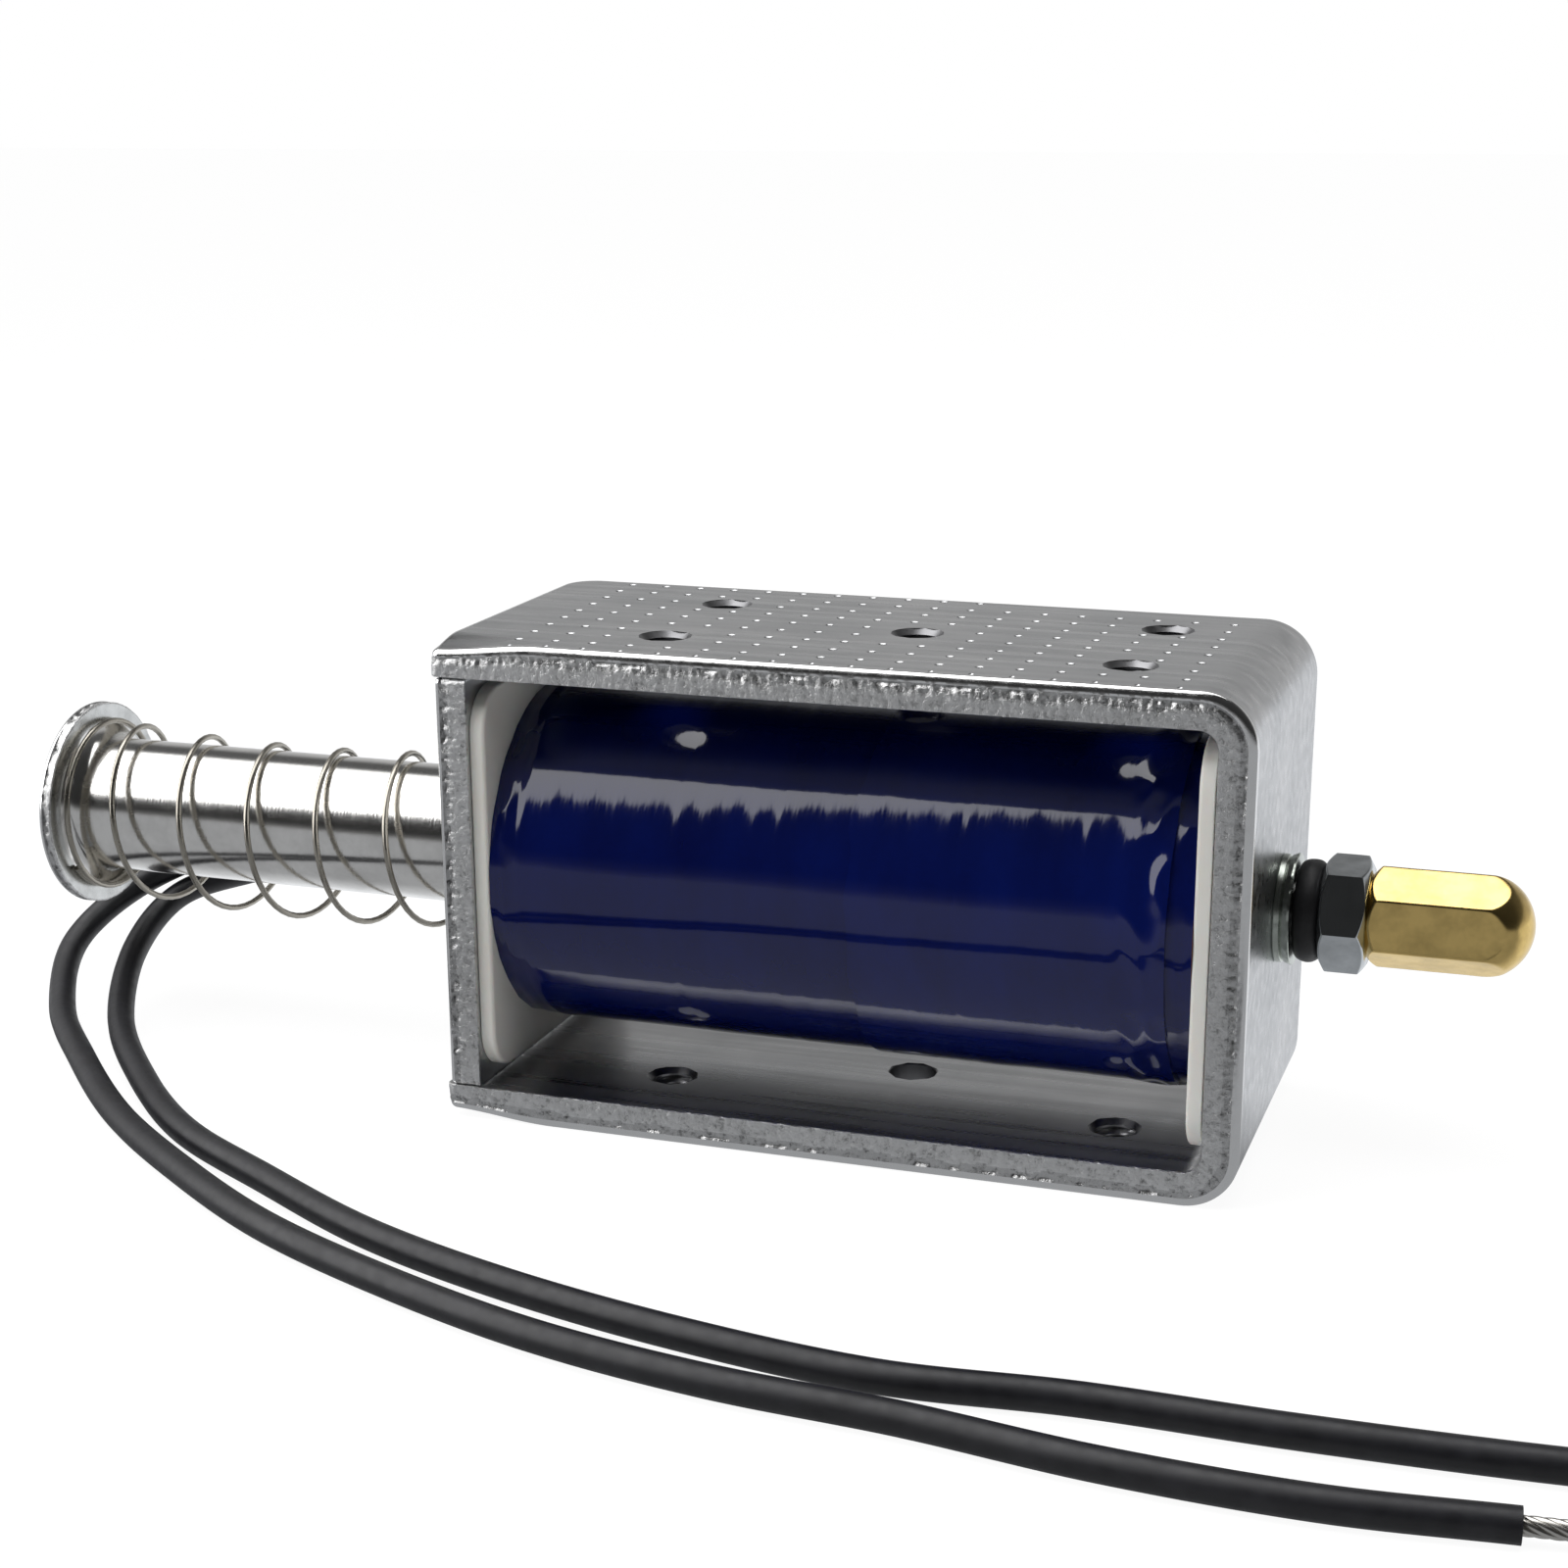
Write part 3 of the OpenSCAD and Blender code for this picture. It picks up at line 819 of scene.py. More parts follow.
def rounded_rectangle(x0: float, x1: float, y0: float, y1: float,
                      radii: tuple[float, float, float, float], step: float,
                      long_side: Sequence[float] | None = None
                      ) -> list[tuple[Point2, Point2]]:
    """Outline of a rectangle with rounded corners, counter-clockwise.

    Args:
        x0: Lowest x.
        x1: Highest x.
        y0: Lowest y.
        y1: Highest y.
        radii: Corner radii at (x0, y0), (x1, y0), (x1, y1) and (x0, y1).
        step: Spacing of the points.
        long_side: Absolute x places of the points on both long sides, if given.

    Returns:
        Points with their inward directions.
    """
    r00, r10, r11, r01 = radii

    def places(low: float, high: float) -> list[float]:
        """Places along a long side.

        Args:
            low: Where the side starts.
            high: Where it ends.

        Returns:
            The places, with both ends.
        """
        if long_side is None:
            return steps_between(low, high, step)
        inside = [v for v in long_side if low + 1e-6 < v < high - 1e-6]
        return [low, *inside, high]

    def turn(radius: float) -> int:
        """Steps in a corner of this radius."""
        return max(3, math.ceil(radius * math.pi / 2 / step))

    result = straight((0, y0), (1, y0), places(x0 + r00, x1 - r10))
    result += corner(x1 - r10, y0 + r10, r10, 270, turn(r10))
    result += straight((x1, 0), (x1, 1), steps_between(y0 + r10, y1 - r11, step))
    result += corner(x1 - r11, y1 - r11, r11, 0, turn(r11))
    result += [((p[0], p[1]), (0.0, -1.0)) for p in
               [(v, y1) for v in reversed(places(x0 + r01, x1 - r11))]]
    result += corner(x0 + r01, y1 - r01, r01, 90, turn(r01))
    result += [((x0, v), (1.0, 0.0)) for v in
               reversed(steps_between(y0 + r00, y1 - r01, step))]
    result += corner(x0 + r00, y0 + r00, r00, 180, turn(r00))
    return result


def put(obj: bpy.types.Object, body: Body, slot: str, *nodes: str) -> bpy.types.Object:
    """Rides a piece on its body and lets it stand for CAD nodes."""
    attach(obj, body.value)
    if nodes:
        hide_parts(*nodes)
    LOG.info("%s: %d faces on %s", obj.name, len(obj.data.polygons), body.value)
    return obj


# ---------------------------------------------------------------- bracket and coil


@dataclass
class Bracket:
    """The bent sheet with its tapped holes, and the end plate staked into it."""

    finishes: Finishes
    bend_r: float = 1.5
    sheet_t: float = 2.8
    corner_back: float = 3.0
    corner_front: float = 0.8
    pitch_x: float = 36.5
    pitch_y: float = 14.0
    tap_r: float = 1.65
    mouth_r: float = 2.1
    centre_r: float = 1.95
    thread: float = 0.7
    dimple_pitch: float = 3.04
    dimple_tilt_deg: float = 0.8
    dimple_r: float = 0.38
    droop: float = 0.7
    step: float = 0.14

    def __post_init__(self) -> None:
        """Reads the bracket's box."""
        low, high = span("frame_bracket")
        self.left, self.right = low.x, high.x
        self.depth = high.y - low.y
        self.height = high.z - low.z
        self.outer_r = self.bend_r + self.sheet_t
        self.flange = self.right - self.outer_r - self.left
        self.bend = self.outer_r * math.pi / 2
        self.web = self.height - 2 * self.outer_r
        self.length = 2 * (self.flange + self.bend) + self.web

    def bent(self, s: float, y: float, depth: float) -> Vector:
        """Places a point of the flat blank on the bent bracket.

        Args:
            s: Place along the outer face, from the free edge of the upper flange.
            y: Place across the sheet.
            depth: Depth below the outer face.

        Returns:
            The point in the part's frame.
        """
        end = min(s, self.length - s)
        fall = (1 - smoothstep(0.0, 9.0, end)) * (1 - smoothstep(0.0, 4.5, y + self.depth / 2))
        depth += self.droop * fall * (1 - depth / self.sheet_t)
        cx = self.right - self.outer_r
        radius = self.outer_r - depth
        s1 = self.flange
        s2 = s1 + self.bend
        s3 = s2 + self.web
        s4 = s3 + self.bend
        if s <= s1:
            return Vector((self.left + s, y, self.height - depth))
        if s <= s2:
            turn = (s - s1) / self.outer_r
            return Vector((cx + radius * math.sin(turn), y,
                           self.height - self.outer_r + radius * math.cos(turn)))
        if s <= s3:
            return Vector((self.right - depth, y, self.height - self.outer_r - (s - s2)))
        if s <= s4:
            turn = (s - s3) / self.outer_r
            return Vector((cx + radius * math.cos(turn), y,
                           self.outer_r - radius * math.sin(turn)))
        return Vector((cx - (s - s4), y, depth))

    def stations(self) -> tuple[list[float], list[float]]:
        """Places along the blank, and those of them that step round a bend."""
        s1 = self.flange
        s2 = s1 + self.bend
        s3 = s2 + self.web
        s4 = s3 + self.bend
        bends = steps_between(s1, s2, self.bend / 18) + steps_between(s3, s4, self.bend / 18)
        places = steps_between(0, s1, self.step) + steps_between(s2, s3, self.step)
        places += bends + steps_between(s4, self.length, self.step)
        return sorted({round(v, 6) for v in places}), [round(v, 6) for v in bends]

    def holes(self) -> list[Hole]:
        """The tapped holes of both flanges and the plain one below."""
        result = []
        centre = -self.left
        for flange, base in ((0, centre), (1, self.length - centre)):
            sign = 1 if flange == 0 else -1
            for sx in (-1, 1):
                for sy in (-1, 1):
                    result.append(Hole(base + sign * sx * self.pitch_x / 2,
                                       sy * self.pitch_y / 2, self.tap_r, self.mouth_r,
                                       self.thread))
        result.append(Hole(centre, 0, self.tap_r, self.mouth_r, self.thread))
        result.append(Hole(self.length - centre, 0, self.centre_r, self.centre_r + 0.12))
        return result

    def dimples(self) -> list[tuple[float, float, float]]:
        """Places and radii of the flattening dimples on the upper flange, clear of its holes."""
        tilt = math.radians(self.dimple_tilt_deg)
        half = self.depth / 2
        holes = self.holes()
        result = []
        for column in range(20):
            for row in range(10):
                u, v = column * self.dimple_pitch, row * self.dimple_pitch
                s = 6.45 + u * math.cos(tilt) - v * math.sin(tilt)
                y = -half + u * math.sin(tilt) + v * math.cos(tilt)
                radius = self.dimple_r * (1 + 0.14 * ripple(s * 0.9, y * 0.9, 0))
                if y < -half + 1.2:
                    y, radius = -half + 1.02, 0.24
                clear = all(math.hypot(s - h.s, y - h.y) > h.mouth + 0.55 for h in holes)
                if clear and y < half - 1.2 and s < self.flange - 0.6:
                    result.append((s, y, radius))
        return result

    def make_sheet(self) -> bpy.types.Object:
        """Makes the bent bracket."""
        places, bends = self.stations()
        half = self.depth / 2
        outline = rounded_rectangle(
            0, self.length, -half, half,
            (self.corner_front, self.corner_front, self.corner_back, self.corner_back),
            self.step, places)
        front = {round(p[0], 6): i for i, (p, n) in enumerate(outline) if n == (0.0, 1.0)}
        back = {round(p[0], 6): i for i, (p, n) in enumerate(outline) if n == (0.0, -1.0)}
        creases = [(front[s], back[s]) for s in bends]
        sheet = PunchedSheet(outline, self.sheet_t, self.bent, 0.45, 0.7, self.holes(),
                             self.dimples(), creases, tear=0.09, draft=0.13)
        f = self.finishes
        obj = sheet.build("bent_bracket", [f.sheet, f.roll, f.sheared, f.thread, f.torn])
        return put(obj, Body.FRAME, "zinc_steel", "frame_bracket")

    def make_plate(self) -> bpy.types.Object:
        """Makes the end plate."""
        low, high = span("end_plate")
        bore = span("guide_tube")
        radius = (bore[1].z - bore[0].z) / 2 + 0.02
        outline = rounded_rectangle(-high.y, -low.y, low.z, high.z, (0.5, 0.5, 0.5, 0.5),
                                    self.step)
        sheet = PunchedSheet(outline, high.x - low.x,
                             lambda s, y, d: Vector((low.x + d, -s, y)), 0.3, 0.35,
                             [Hole(0, AXIS_Z, radius, radius + 0.15, sides=64)],
                             tear=0.1, torn_depth=0.6)
        f = self.finishes
        obj = sheet.build("end_plate_sheet", [f.plate, f.roll, f.sheared, f.plate, f.torn])
        return put(obj, Body.FRAME, "zinc_steel", "end_plate")

    def make(self) -> None:
        """Makes the bracket and its end plate."""
        self.make_sheet()
        self.make_plate()


@dataclass
class Coil:
    """The bobbin, its tape wraps, and the pad that holds the leads."""

    finishes: Finishes
    flange_t: float = 1.2
    flange_corner: float = 3.5
    seams: tuple[float, ...] = (-15.4, -7.4, 7.2, 16.2)
    columns: int = 210
    around: int = 288

    def make_bobbin(self) -> bpy.types.Object:
        """Makes the two flanges and the tube between them."""
        low, high = span("bobbin")
        tube_low, tube_high = span("guide_tube")
        bore = (tube_high.z - tube_low.z) / 2 + 0.02
        parts = []
        for index, x in enumerate((low.x, high.x - self.flange_t)):
            r = self.flange_corner
            outline = rounded_rectangle(low.y, high.y, low.z, high.z, (r, r, r, r), 0.4)
            if index:
                place = lambda s, y, d, x=x: Vector((x + d, s, y))
            else:
                place = lambda s, y, d, x=x: Vector((x + self.flange_t - d, s, y))
            sheet = PunchedSheet(outline, self.flange_t, place, 0.3, 0.3,
                                 [Hole(0, AXIS_Z, bore, bore + 0.05, sides=64)],
                                 wall_rows=3)
            nylon = [self.finishes.nylon] * len(Skin)
            parts.append(sheet.build(f"bobbin_flange_{index}", nylon))
        wall = 0.9
        tube = lathe([(low.x + self.flange_t, bore), (low.x + self.flange_t, bore + wall),
                      (high.x - self.flange_t, bore + wall), (high.x - self.flange_t, bore)])
        parts.append(solid(tube, "bobbin_tube", [self.finishes.nylon]))
        bobbin = join(parts, "moulded_bobbin")
        return put(bobbin, Body.FRAME, "white_nylon", "bobbin")

    def tape_height(self, x: float, angle: float, x0: float, x1: float) -> float:
        """Height of the first wrap over its nominal radius.

        Args:
            x: Place along the axis.
            angle: Angle about the axis.
            x0: Left end of the wrap.
            x1: Right end of the wrap.

        Returns:
            The height in millimetres.
        """
        cy, cz = 14 * math.cos(angle), 14 * math.sin(angle)
        height = 0.05 * ripple(x * 0.1, cy * 0.07, cz * 0.07)
        height += 0.012 * ripple(x * 0.8, cy * 0.14, cz * 0.14, 5.0)
        for k, seam in enumerate(self.seams):
            edge = seam + 0.25 * ripple(cy * 0.12, cz * 0.12, k * 3.0)
            height += 0.02 * smoothstep(edge - 0.08, edge + 0.08, x)
            height -= 0.02 * smoothstep(edge + 0.4, edge + 7.0, x)
        near = min(x - x0, x1 - x)
        for k, step in enumerate((0.9, 2.2)):
            edge = step + 0.3 * ripple(cy * 0.15, cz * 0.15, k * 5.0)
            height -= 0.06 * (1 - smoothstep(edge - 0.12, edge + 0.12, near))
        crumple = 1 - smoothstep(0.6, 2.6, near)
        fold = 1 - 2 * abs(ripple(x * 0.5, cy * 0.35, cz * 0.35, 11.0))
        return max(height + crumple * (0.1 * fold - 0.05), -0.17)

    def patch_height(self, x: float, angle: float, x0: float, x1: float) -> float:
        """Height of the second wrap; the arguments are those of tape_height."""
        cy, cz = 14 * math.cos(angle), 14 * math.sin(angle)
        height = self.tape_height(x, angle, -60.0, 90.0)
        height += 0.015 * ripple(x * 0.5, cy * 0.15, cz * 0.15, 21.0)
        crumple = smoothstep(x1 - 4.5, x1 - 1.5, x)
        fold = 1 - 2 * abs(ripple(x * 0.4, cy * 0.28, cz * 0.28, 31.0))
        return height + crumple * (0.26 * fold - 0.08)

    def wrap(self, name: str, x0: float, x1: float, radius: float, inner: float,
             columns: int, height: Callable[[float, float, float, float], float],
             ragged: float, material: bpy.types.Material) -> bpy.types.Object:
        """Makes one closed wrap of tape.

        Args:
            name: Name of the object.
            x0: Left end.
            x1: Right end.
            radius: Nominal outer radius.
            inner: Inner radius.
            columns: Number of steps along the axis.
            height: Height field.
            ragged: How far the ends wander.
            material: Its material.

        Returns:
            The finished object.
        """
        bm = bmesh.new()
        rows = []
        for i in range(columns + 1):
            row = []
            for k in range(self.around):
                angle = math.tau * k / self.around
                wander = ragged * ripple(3 * math.cos(angle), 3 * math.sin(angle), 0, 9.0)
                x = x0 + wander + (x1 - x0 - wander) * i / columns
                row.append(bm.verts.new(about_axis(
                    x, radius + height(x, angle, x0, x1), angle)))
            rows.append(row)
        for i in (-1, 0):
            row = rows[i]
            rows_x = [v.co.x for v in row]
            ring = [bm.verts.new(about_axis(x, inner, math.tau * k / self.around))
                    for k, x in enumerate(rows_x)]
            rows.append(ring) if i == -1 else rows.insert(0, ring)
        rows.append(rows[0])
        skin_rows(bm, rows)
        return solid(bm, name, [material], 50)

    def make_tapes(self) -> None:
        """Makes the first wrap and the second one over the push half."""
        low, high = span("coil_tape")
        radius = (high.z - low.z) / 2
        tape = self.wrap("tape_wrap", low.x + 0.02, high.x - 0.02, radius - 0.05,
                         radius - 1.3, self.columns, self.tape_height, 0.0,
                         self.finishes.tape)
        put(tape, Body.FRAME, "blue_tape", "coil_tape")
        low, high = span("tape_patch")
        patch = self.wrap("tape_second_wrap", low.x, high.x, radius + 0.12, radius - 0.7, 110,
                          self.patch_height, 0.8, self.finishes.patch)
        put(patch, Body.FRAME, "blue_tape", "tape_patch")

    def make_pad(self) -> bpy.types.Object:
        """Makes the taped pad over the leads at the back."""
        low, high = span("lead_pad")
        bm = bmesh.new()
        rows = []
        steps = 24
        for i in range(steps + 1):
            x = low.x + (high.x - low.x) * i / steps
            end = min(i, steps - i) / steps
            row = []
            for k in range(21):
                t = k / 20
                z = low.z - 2.2 + (high.z - low.z + 4.4) * t
                drape = smoothstep(0.0, 0.34, t) * (1 - smoothstep(0.66, 1.0, t))
                base = math.sqrt(max(0.0, 14.2 ** 2 - (z - AXIS_Z) ** 2))
                rise = (high.y - base) * drape * smoothstep(0.0, 0.05, end + 0.03)
                y = base + rise + 0.05 * ripple(x * 0.7, z * 0.9, 0, 2.0)
                row.append(bm.verts.new((x, min(y, high.y), z)))
            row += [bm.verts.new((x, 12.4, z)) for z in (high.z + 2.2, low.z - 2.2)]
            rows.append(row)
        skin_rows(bm, rows)
        bm.faces.new(rows[0])
        bm.faces.new(rows[-1])
        pad = solid(bm, "taped_pad", [self.finishes.patch], 40)
        return put(pad, Body.FRAME, "blue_tape", "lead_pad")

    def make(self) -> None:
        """Makes the whole coil."""
        self.make_bobbin()
        self.make_tapes()
        self.make_pad()


def join(parts: Sequence[bpy.types.Object], name: str) -> bpy.types.Object:
    """Joins finished objects with the same slots into one.

    Args:
        parts: The objects, which are used up.
        name: Name of the result.

    Returns:
        The joined object.
    """
    bm = bmesh.new()
    for part in parts:
        bm.from_mesh(part.data)
    mesh = bpy.data.meshes.new(name)
    bm.to_mesh(mesh)
    bm.free()
    for material in parts[0].data.materials:
        mesh.materials.append(material)
    for part in parts:
        bpy.data.objects.remove(part)
    obj = bpy.data.objects.new(name, mesh)
    bpy.context.scene.collection.objects.link(obj)
    return obj


# ---------------------------------------------------------------- plunger and push end


@dataclass
class Plunger:
    """The plunger, its punched flange and the rod through the core."""

    finishes: Finishes
    root_r: float = 1.4
    nose_len: float = 3.2
    nose_r1: float = 4.5
    nose_r2: float = 3.0

    def make_plunger(self) -> bpy.types.Object:
        """Makes the plunger with its root fillet and nose cone."""
        low, high = span("plunger")
        root = (high.z - low.z) / 2
        radius = root - self.root_r
        shoulder = high.x - self.nose_len
        fillet = [(low.x + self.root_r - self.root_r * math.sin(math.radians(a)),
                   root - self.root_r * math.cos(math.radians(a))) for a in range(90, -1, -9)]
        profile = [(low.x, 0.0)]
        profile += [(x, root - (root - r)) for x, r in fillet]
        body = [(low.x + self.root_r + 0.05, radius)]
        body += [(x, radius) for x in steps_between(low.x + 2, shoulder - 0.5, 4.0)]
        profile += body
        profile += arc(shoulder - 0.4, radius - 0.4, 0.4, 90, 0, 5)
        profile += [(shoulder, self.nose_r1), (high.x, self.nose_r2), (high.x, 0.0)]
        plunger = solid(lathe(profile, 144), "plunger_body", [self.finishes.steel], 34)
        return put(plunger, Body.PLUNGER, "plated_steel", "plunger")

    def make_flange(self) -> bpy.types.Object:
        """Makes the punched flange at the pull end."""
        low, high = span("plunger_flange")
        radius = (high.z - low.z) / 2
        count = 220
        outline = []
        for k in range(count):
            a = math.tau * k / count
            out = (math.cos(a), math.sin(a))
            outline.append(((radius * out[0], radius * out[1]), (-out[0], -out[1])))
        sheet = PunchedSheet(outline, high.x - low.x,
                             lambda s, y, d: Vector((low.x + d, s, AXIS_Z + y)),
                             0.35, 0.4, tear=0.1, tear_scale=1.8, torn_depth=0.5)
        f = self.finishes
        flange = sheet.build("punched_flange", [f.disc, f.roll, f.sheared, f.disc, f.torn])
        return put(flange, Body.PLUNGER, "plated_steel", "plunger_flange")

    def make_rod(self) -> bpy.types.Object:
        """Makes the push rod."""
        low, high = span("push_rod")
        radius = (high.z - low.z) / 2
        profile = [(low.x, 0.0), (low.x, radius - 0.3), (low.x + 0.3, radius)]
        profile += [(x, radius) for x in steps_between(low.x + 2, high.x - 1, 4.0)]
        profile += [(high.x - 0.5, radius), (high.x, radius - 0.5), (high.x, 0.0)]
        rod = solid(lathe(profile), "push_rod_bar", [self.finishes.rod])
        return put(rod, Body.PLUNGER, "rod_steel", "push_rod")

    def make(self) -> None:
        """Makes the plunger's three pieces."""
        self.make_plunger()
        self.make_flange()
        self.make_rod()


@dataclass
class PushEnd:
    """The staked core head, the rubber ring, the nut and the domed cap."""

    finishes: Finishes
    nut_turn_deg: float = 24.0
    cap_turn_deg: float = 4.0
    nut_flats: float = 7.9
    nut_slope: float = 0.6
    nut_face_cut: float = 0.2
    cap_flats: float = 6.8
    cap_entry_cut: float = 0.25
    cap_entry_slope: float = 0.9
    rod_bore_r: float = 2.52
    round_edge: float = 0.05

    def hexagon(self, angle: float, flats: float, turn_deg: float) -> float:
        """Radius of a hexagon at an angle; its first flat faces the front, turned up."""
        local = (angle - math.radians(turn_deg) + math.pi / 6) % (math.pi / 3) - math.pi / 6
        return flats / 2 / math.cos(local)

    def soft_min(self, first: float, second: float) -> float:
        """The smaller of two radii, with the edge between them rounded."""
        k = self.round_edge
        low, high = min(first, second), max(first, second)
        return low - k * math.log1p(math.exp(-(high - low) / k))

    def hex_piece(self, name: str, x_rows: Sequence[float], flats: float, turn_deg: float,
                  limit: Callable[[float], float], bore: float,
                  material: bpy.types.Material) -> bpy.types.Object:
        """Makes a hexagonal piece whose ends are turned.

        Args:
            name: Name of the object.
            x_rows: Places of the rings along the axis.
            flats: Size across flats.
            turn_deg: Turn of the hexagon.
            limit: Turned radius at x.
            bore: Radius of the bore at the first end, or 0 for none at the last.
            material: Its material.

        Returns:
            The finished object.
        """
        sides = 240
        bm = bmesh.new()
        rows = []
        for x in x_rows:
            row = []
            for k in range(sides):
                angle = math.tau * k / sides
                radius = self.soft_min(self.hexagon(angle, flats, turn_deg), limit(x))
                radius += 0.012 * ripple(x * 0.8, 3 * math.cos(angle), 3 * math.sin(angle))
                row.append(bm.verts.new(about_axis(x, max(radius, 0.02), angle)))
            rows.append(row)
        start, end = x_rows[0], x_rows[-1]
        inner_end = end if limit(end) > bore else start + 7.0
        ring = [[bm.verts.new(about_axis(x, bore, math.tau * k / sides))
                 for k in range(sides)] for x in (start, inner_end)]
        skin_rows(bm, [ring[0], *rows])
        skin_rows(bm, ring)
        if inner_end == end:
            skin_rows(bm, [rows[-1], ring[1]])
        else:
            bm.faces.new(rows[-1])
            bm.faces.new(ring[1])
        return solid(bm, name, [material], 40)

    def make_nut(self) -> bpy.types.Object:
        """Makes the nut with both faces chamfered."""
        low, high = span("hex_nut")
        flats = self.nut_flats
        corner_r = flats / 2 / math.cos(math.pi / 6)
        slope = self.nut_slope
        face_r = flats / 2 - self.nut_face_cut

        def turned(x: float) -> float:
            """Radius of the chamfer cones at this place."""
            near = min(x - low.x, high.x - x)
            return face_r + near / slope

        cone = (corner_r - face_r + 0.1) * slope
        rows = steps_between(low.x, low.x + cone, 0.05)
        rows += steps_between(low.x + cone, high.x - cone, 0.3)[1:-1]
        rows += steps_between(high.x - cone, high.x, 0.05)
        nut = self.hex_piece("chamfered_nut", rows, flats, self.nut_turn_deg, turned,
                             self.rod_bore_r, self.finishes.nut)
        return put(nut, Body.PLUNGER, "nut_steel", "hex_nut")

    def make_cap(self) -> bpy.types.Object:
        """Makes the brass cap with its domed end."""
        low, high = span("cap_nut")
        flats = self.cap_flats
        corner_r = flats / 2 / math.cos(math.pi / 6)
        dome = corner_r + 0.1

        def turned(x: float) -> float:
            """Radius of the cap's turned outline.

            Args:
                x: Place along the plunger axis.

            Returns:
                The radius, from the entry chamfer or the dome.
            """
            start = flats / 2 - self.cap_entry_cut + (x - low.x) / self.cap_entry_slope
            reach = x - (high.x - dome)
            end = math.sqrt(max(0.0, dome ** 2 - max(0.0, reach) ** 2))
            return min(start, end)

        rows = steps_between(low.x, low.x + 0.8, 0.06)
        rows += steps_between(low.x + 0.8, high.x - dome, 0.4)[1:-1]
        rows += [high.x - dome + dome * math.sin(math.radians(a))
                 for a in [*range(0, 88, 2), 89, 89.8]]
        cap = self.hex_piece("domed_cap", rows, flats, self.cap_turn_deg, turned,
                             self.rod_bore_r, self.finishes.brass)
        return put(cap, Body.PLUNGER, "cap_brass", "cap_nut")

    def make_ring(self) -> bpy.types.Object:
        """Makes the rubber ring."""
        low, high = span("rubber_ring")
        radius = (high.z - low.z) / 2
        width = high.x - low.x
        profile = [(low.x, 2.53), (low.x, radius - 0.75)]
        for a in range(0, 181, 12):
            angle = math.radians(a)
            profile.append((low.x + width / 2 - width / 2 * math.cos(angle),
                            radius - 0.7 + 0.7 * math.sin(angle) ** 0.8))
        profile += [(high.x, radius - 0.75), (high.x, 2.53)]
        ring = solid(lathe(profile, 96, lambda x, r, a: 0.04 * ripple(
            x * 1.5, 2 * math.cos(a), 2 * math.sin(a)) if r > 3 else 0.0),
            "rubber_washer", [self.finishes.rubber], 60)
        return put(ring, Body.PLUNGER, "black_rubber", "rubber_ring")

    def make_core(self) -> bpy.types.Object:
        """Makes the core with its staked head."""
        low, high = span("fixed_core")
        tube_low, tube_high = span("guide_tube")
        body_r = (tube_high.z - tube_low.z) / 2 - 0.42
        web_out = span("frame_bracket")[1].x
        web_in = web_out - 2.8
        head_r = 4.3
        bore = 2.58
        profile = [(low.x, bore + 2.0), (low.x, body_r), (web_in, body_r), (web_in, 3.96),
                   (web_out, 3.96), (web_out, head_r - 0.22), (web_out + 0.12, head_r - 0.12),
                   (web_out + 0.5, head_r - 0.16), (web_out + 0.62, head_r - 0.3),
                   (web_out + 0.74, head_r - 0.16), (high.x - 0.35, head_r - 0.08),
                   (high.x - 0.2, head_r), (high.x - 0.05, head_r), (high.x, head_r - 0.08),
                   (high.x, bore + 0.3), (high.x - 0.25, bore), (low.x + 3.2, bore),
                   (low.x + 3.2, bore + 0.5)]

        def staked(x: float, r: float, a: float) -> float:
            """Roughness of the staked lip.

            Args:
                x: Place along the plunger axis.
                r: Radius.
                a: Angle about the axis.

            Returns:
                How far the surface moves out.
            """
            if x < web_out + 0.05 or r < 3.5:
                return 0.0
            rough = ripple(x * 2.0, 7 * math.cos(a), 7 * math.sin(a), 4.0)
            return 0.1 * rough * smoothstep(web_out + 0.6, high.x - 0.2, x)

        core = solid(lathe(profile, 144, staked), "staked_core",
                     [self.finishes.core], 24)
        return put(core, Body.FRAME, "core_steel", "fixed_core")

    def make(self) -> None:
        """Makes the push end."""
        self.make_core()
        self.make_ring()
        self.make_nut()
        self.make_cap()


# ---------------------------------------------------------------- wires


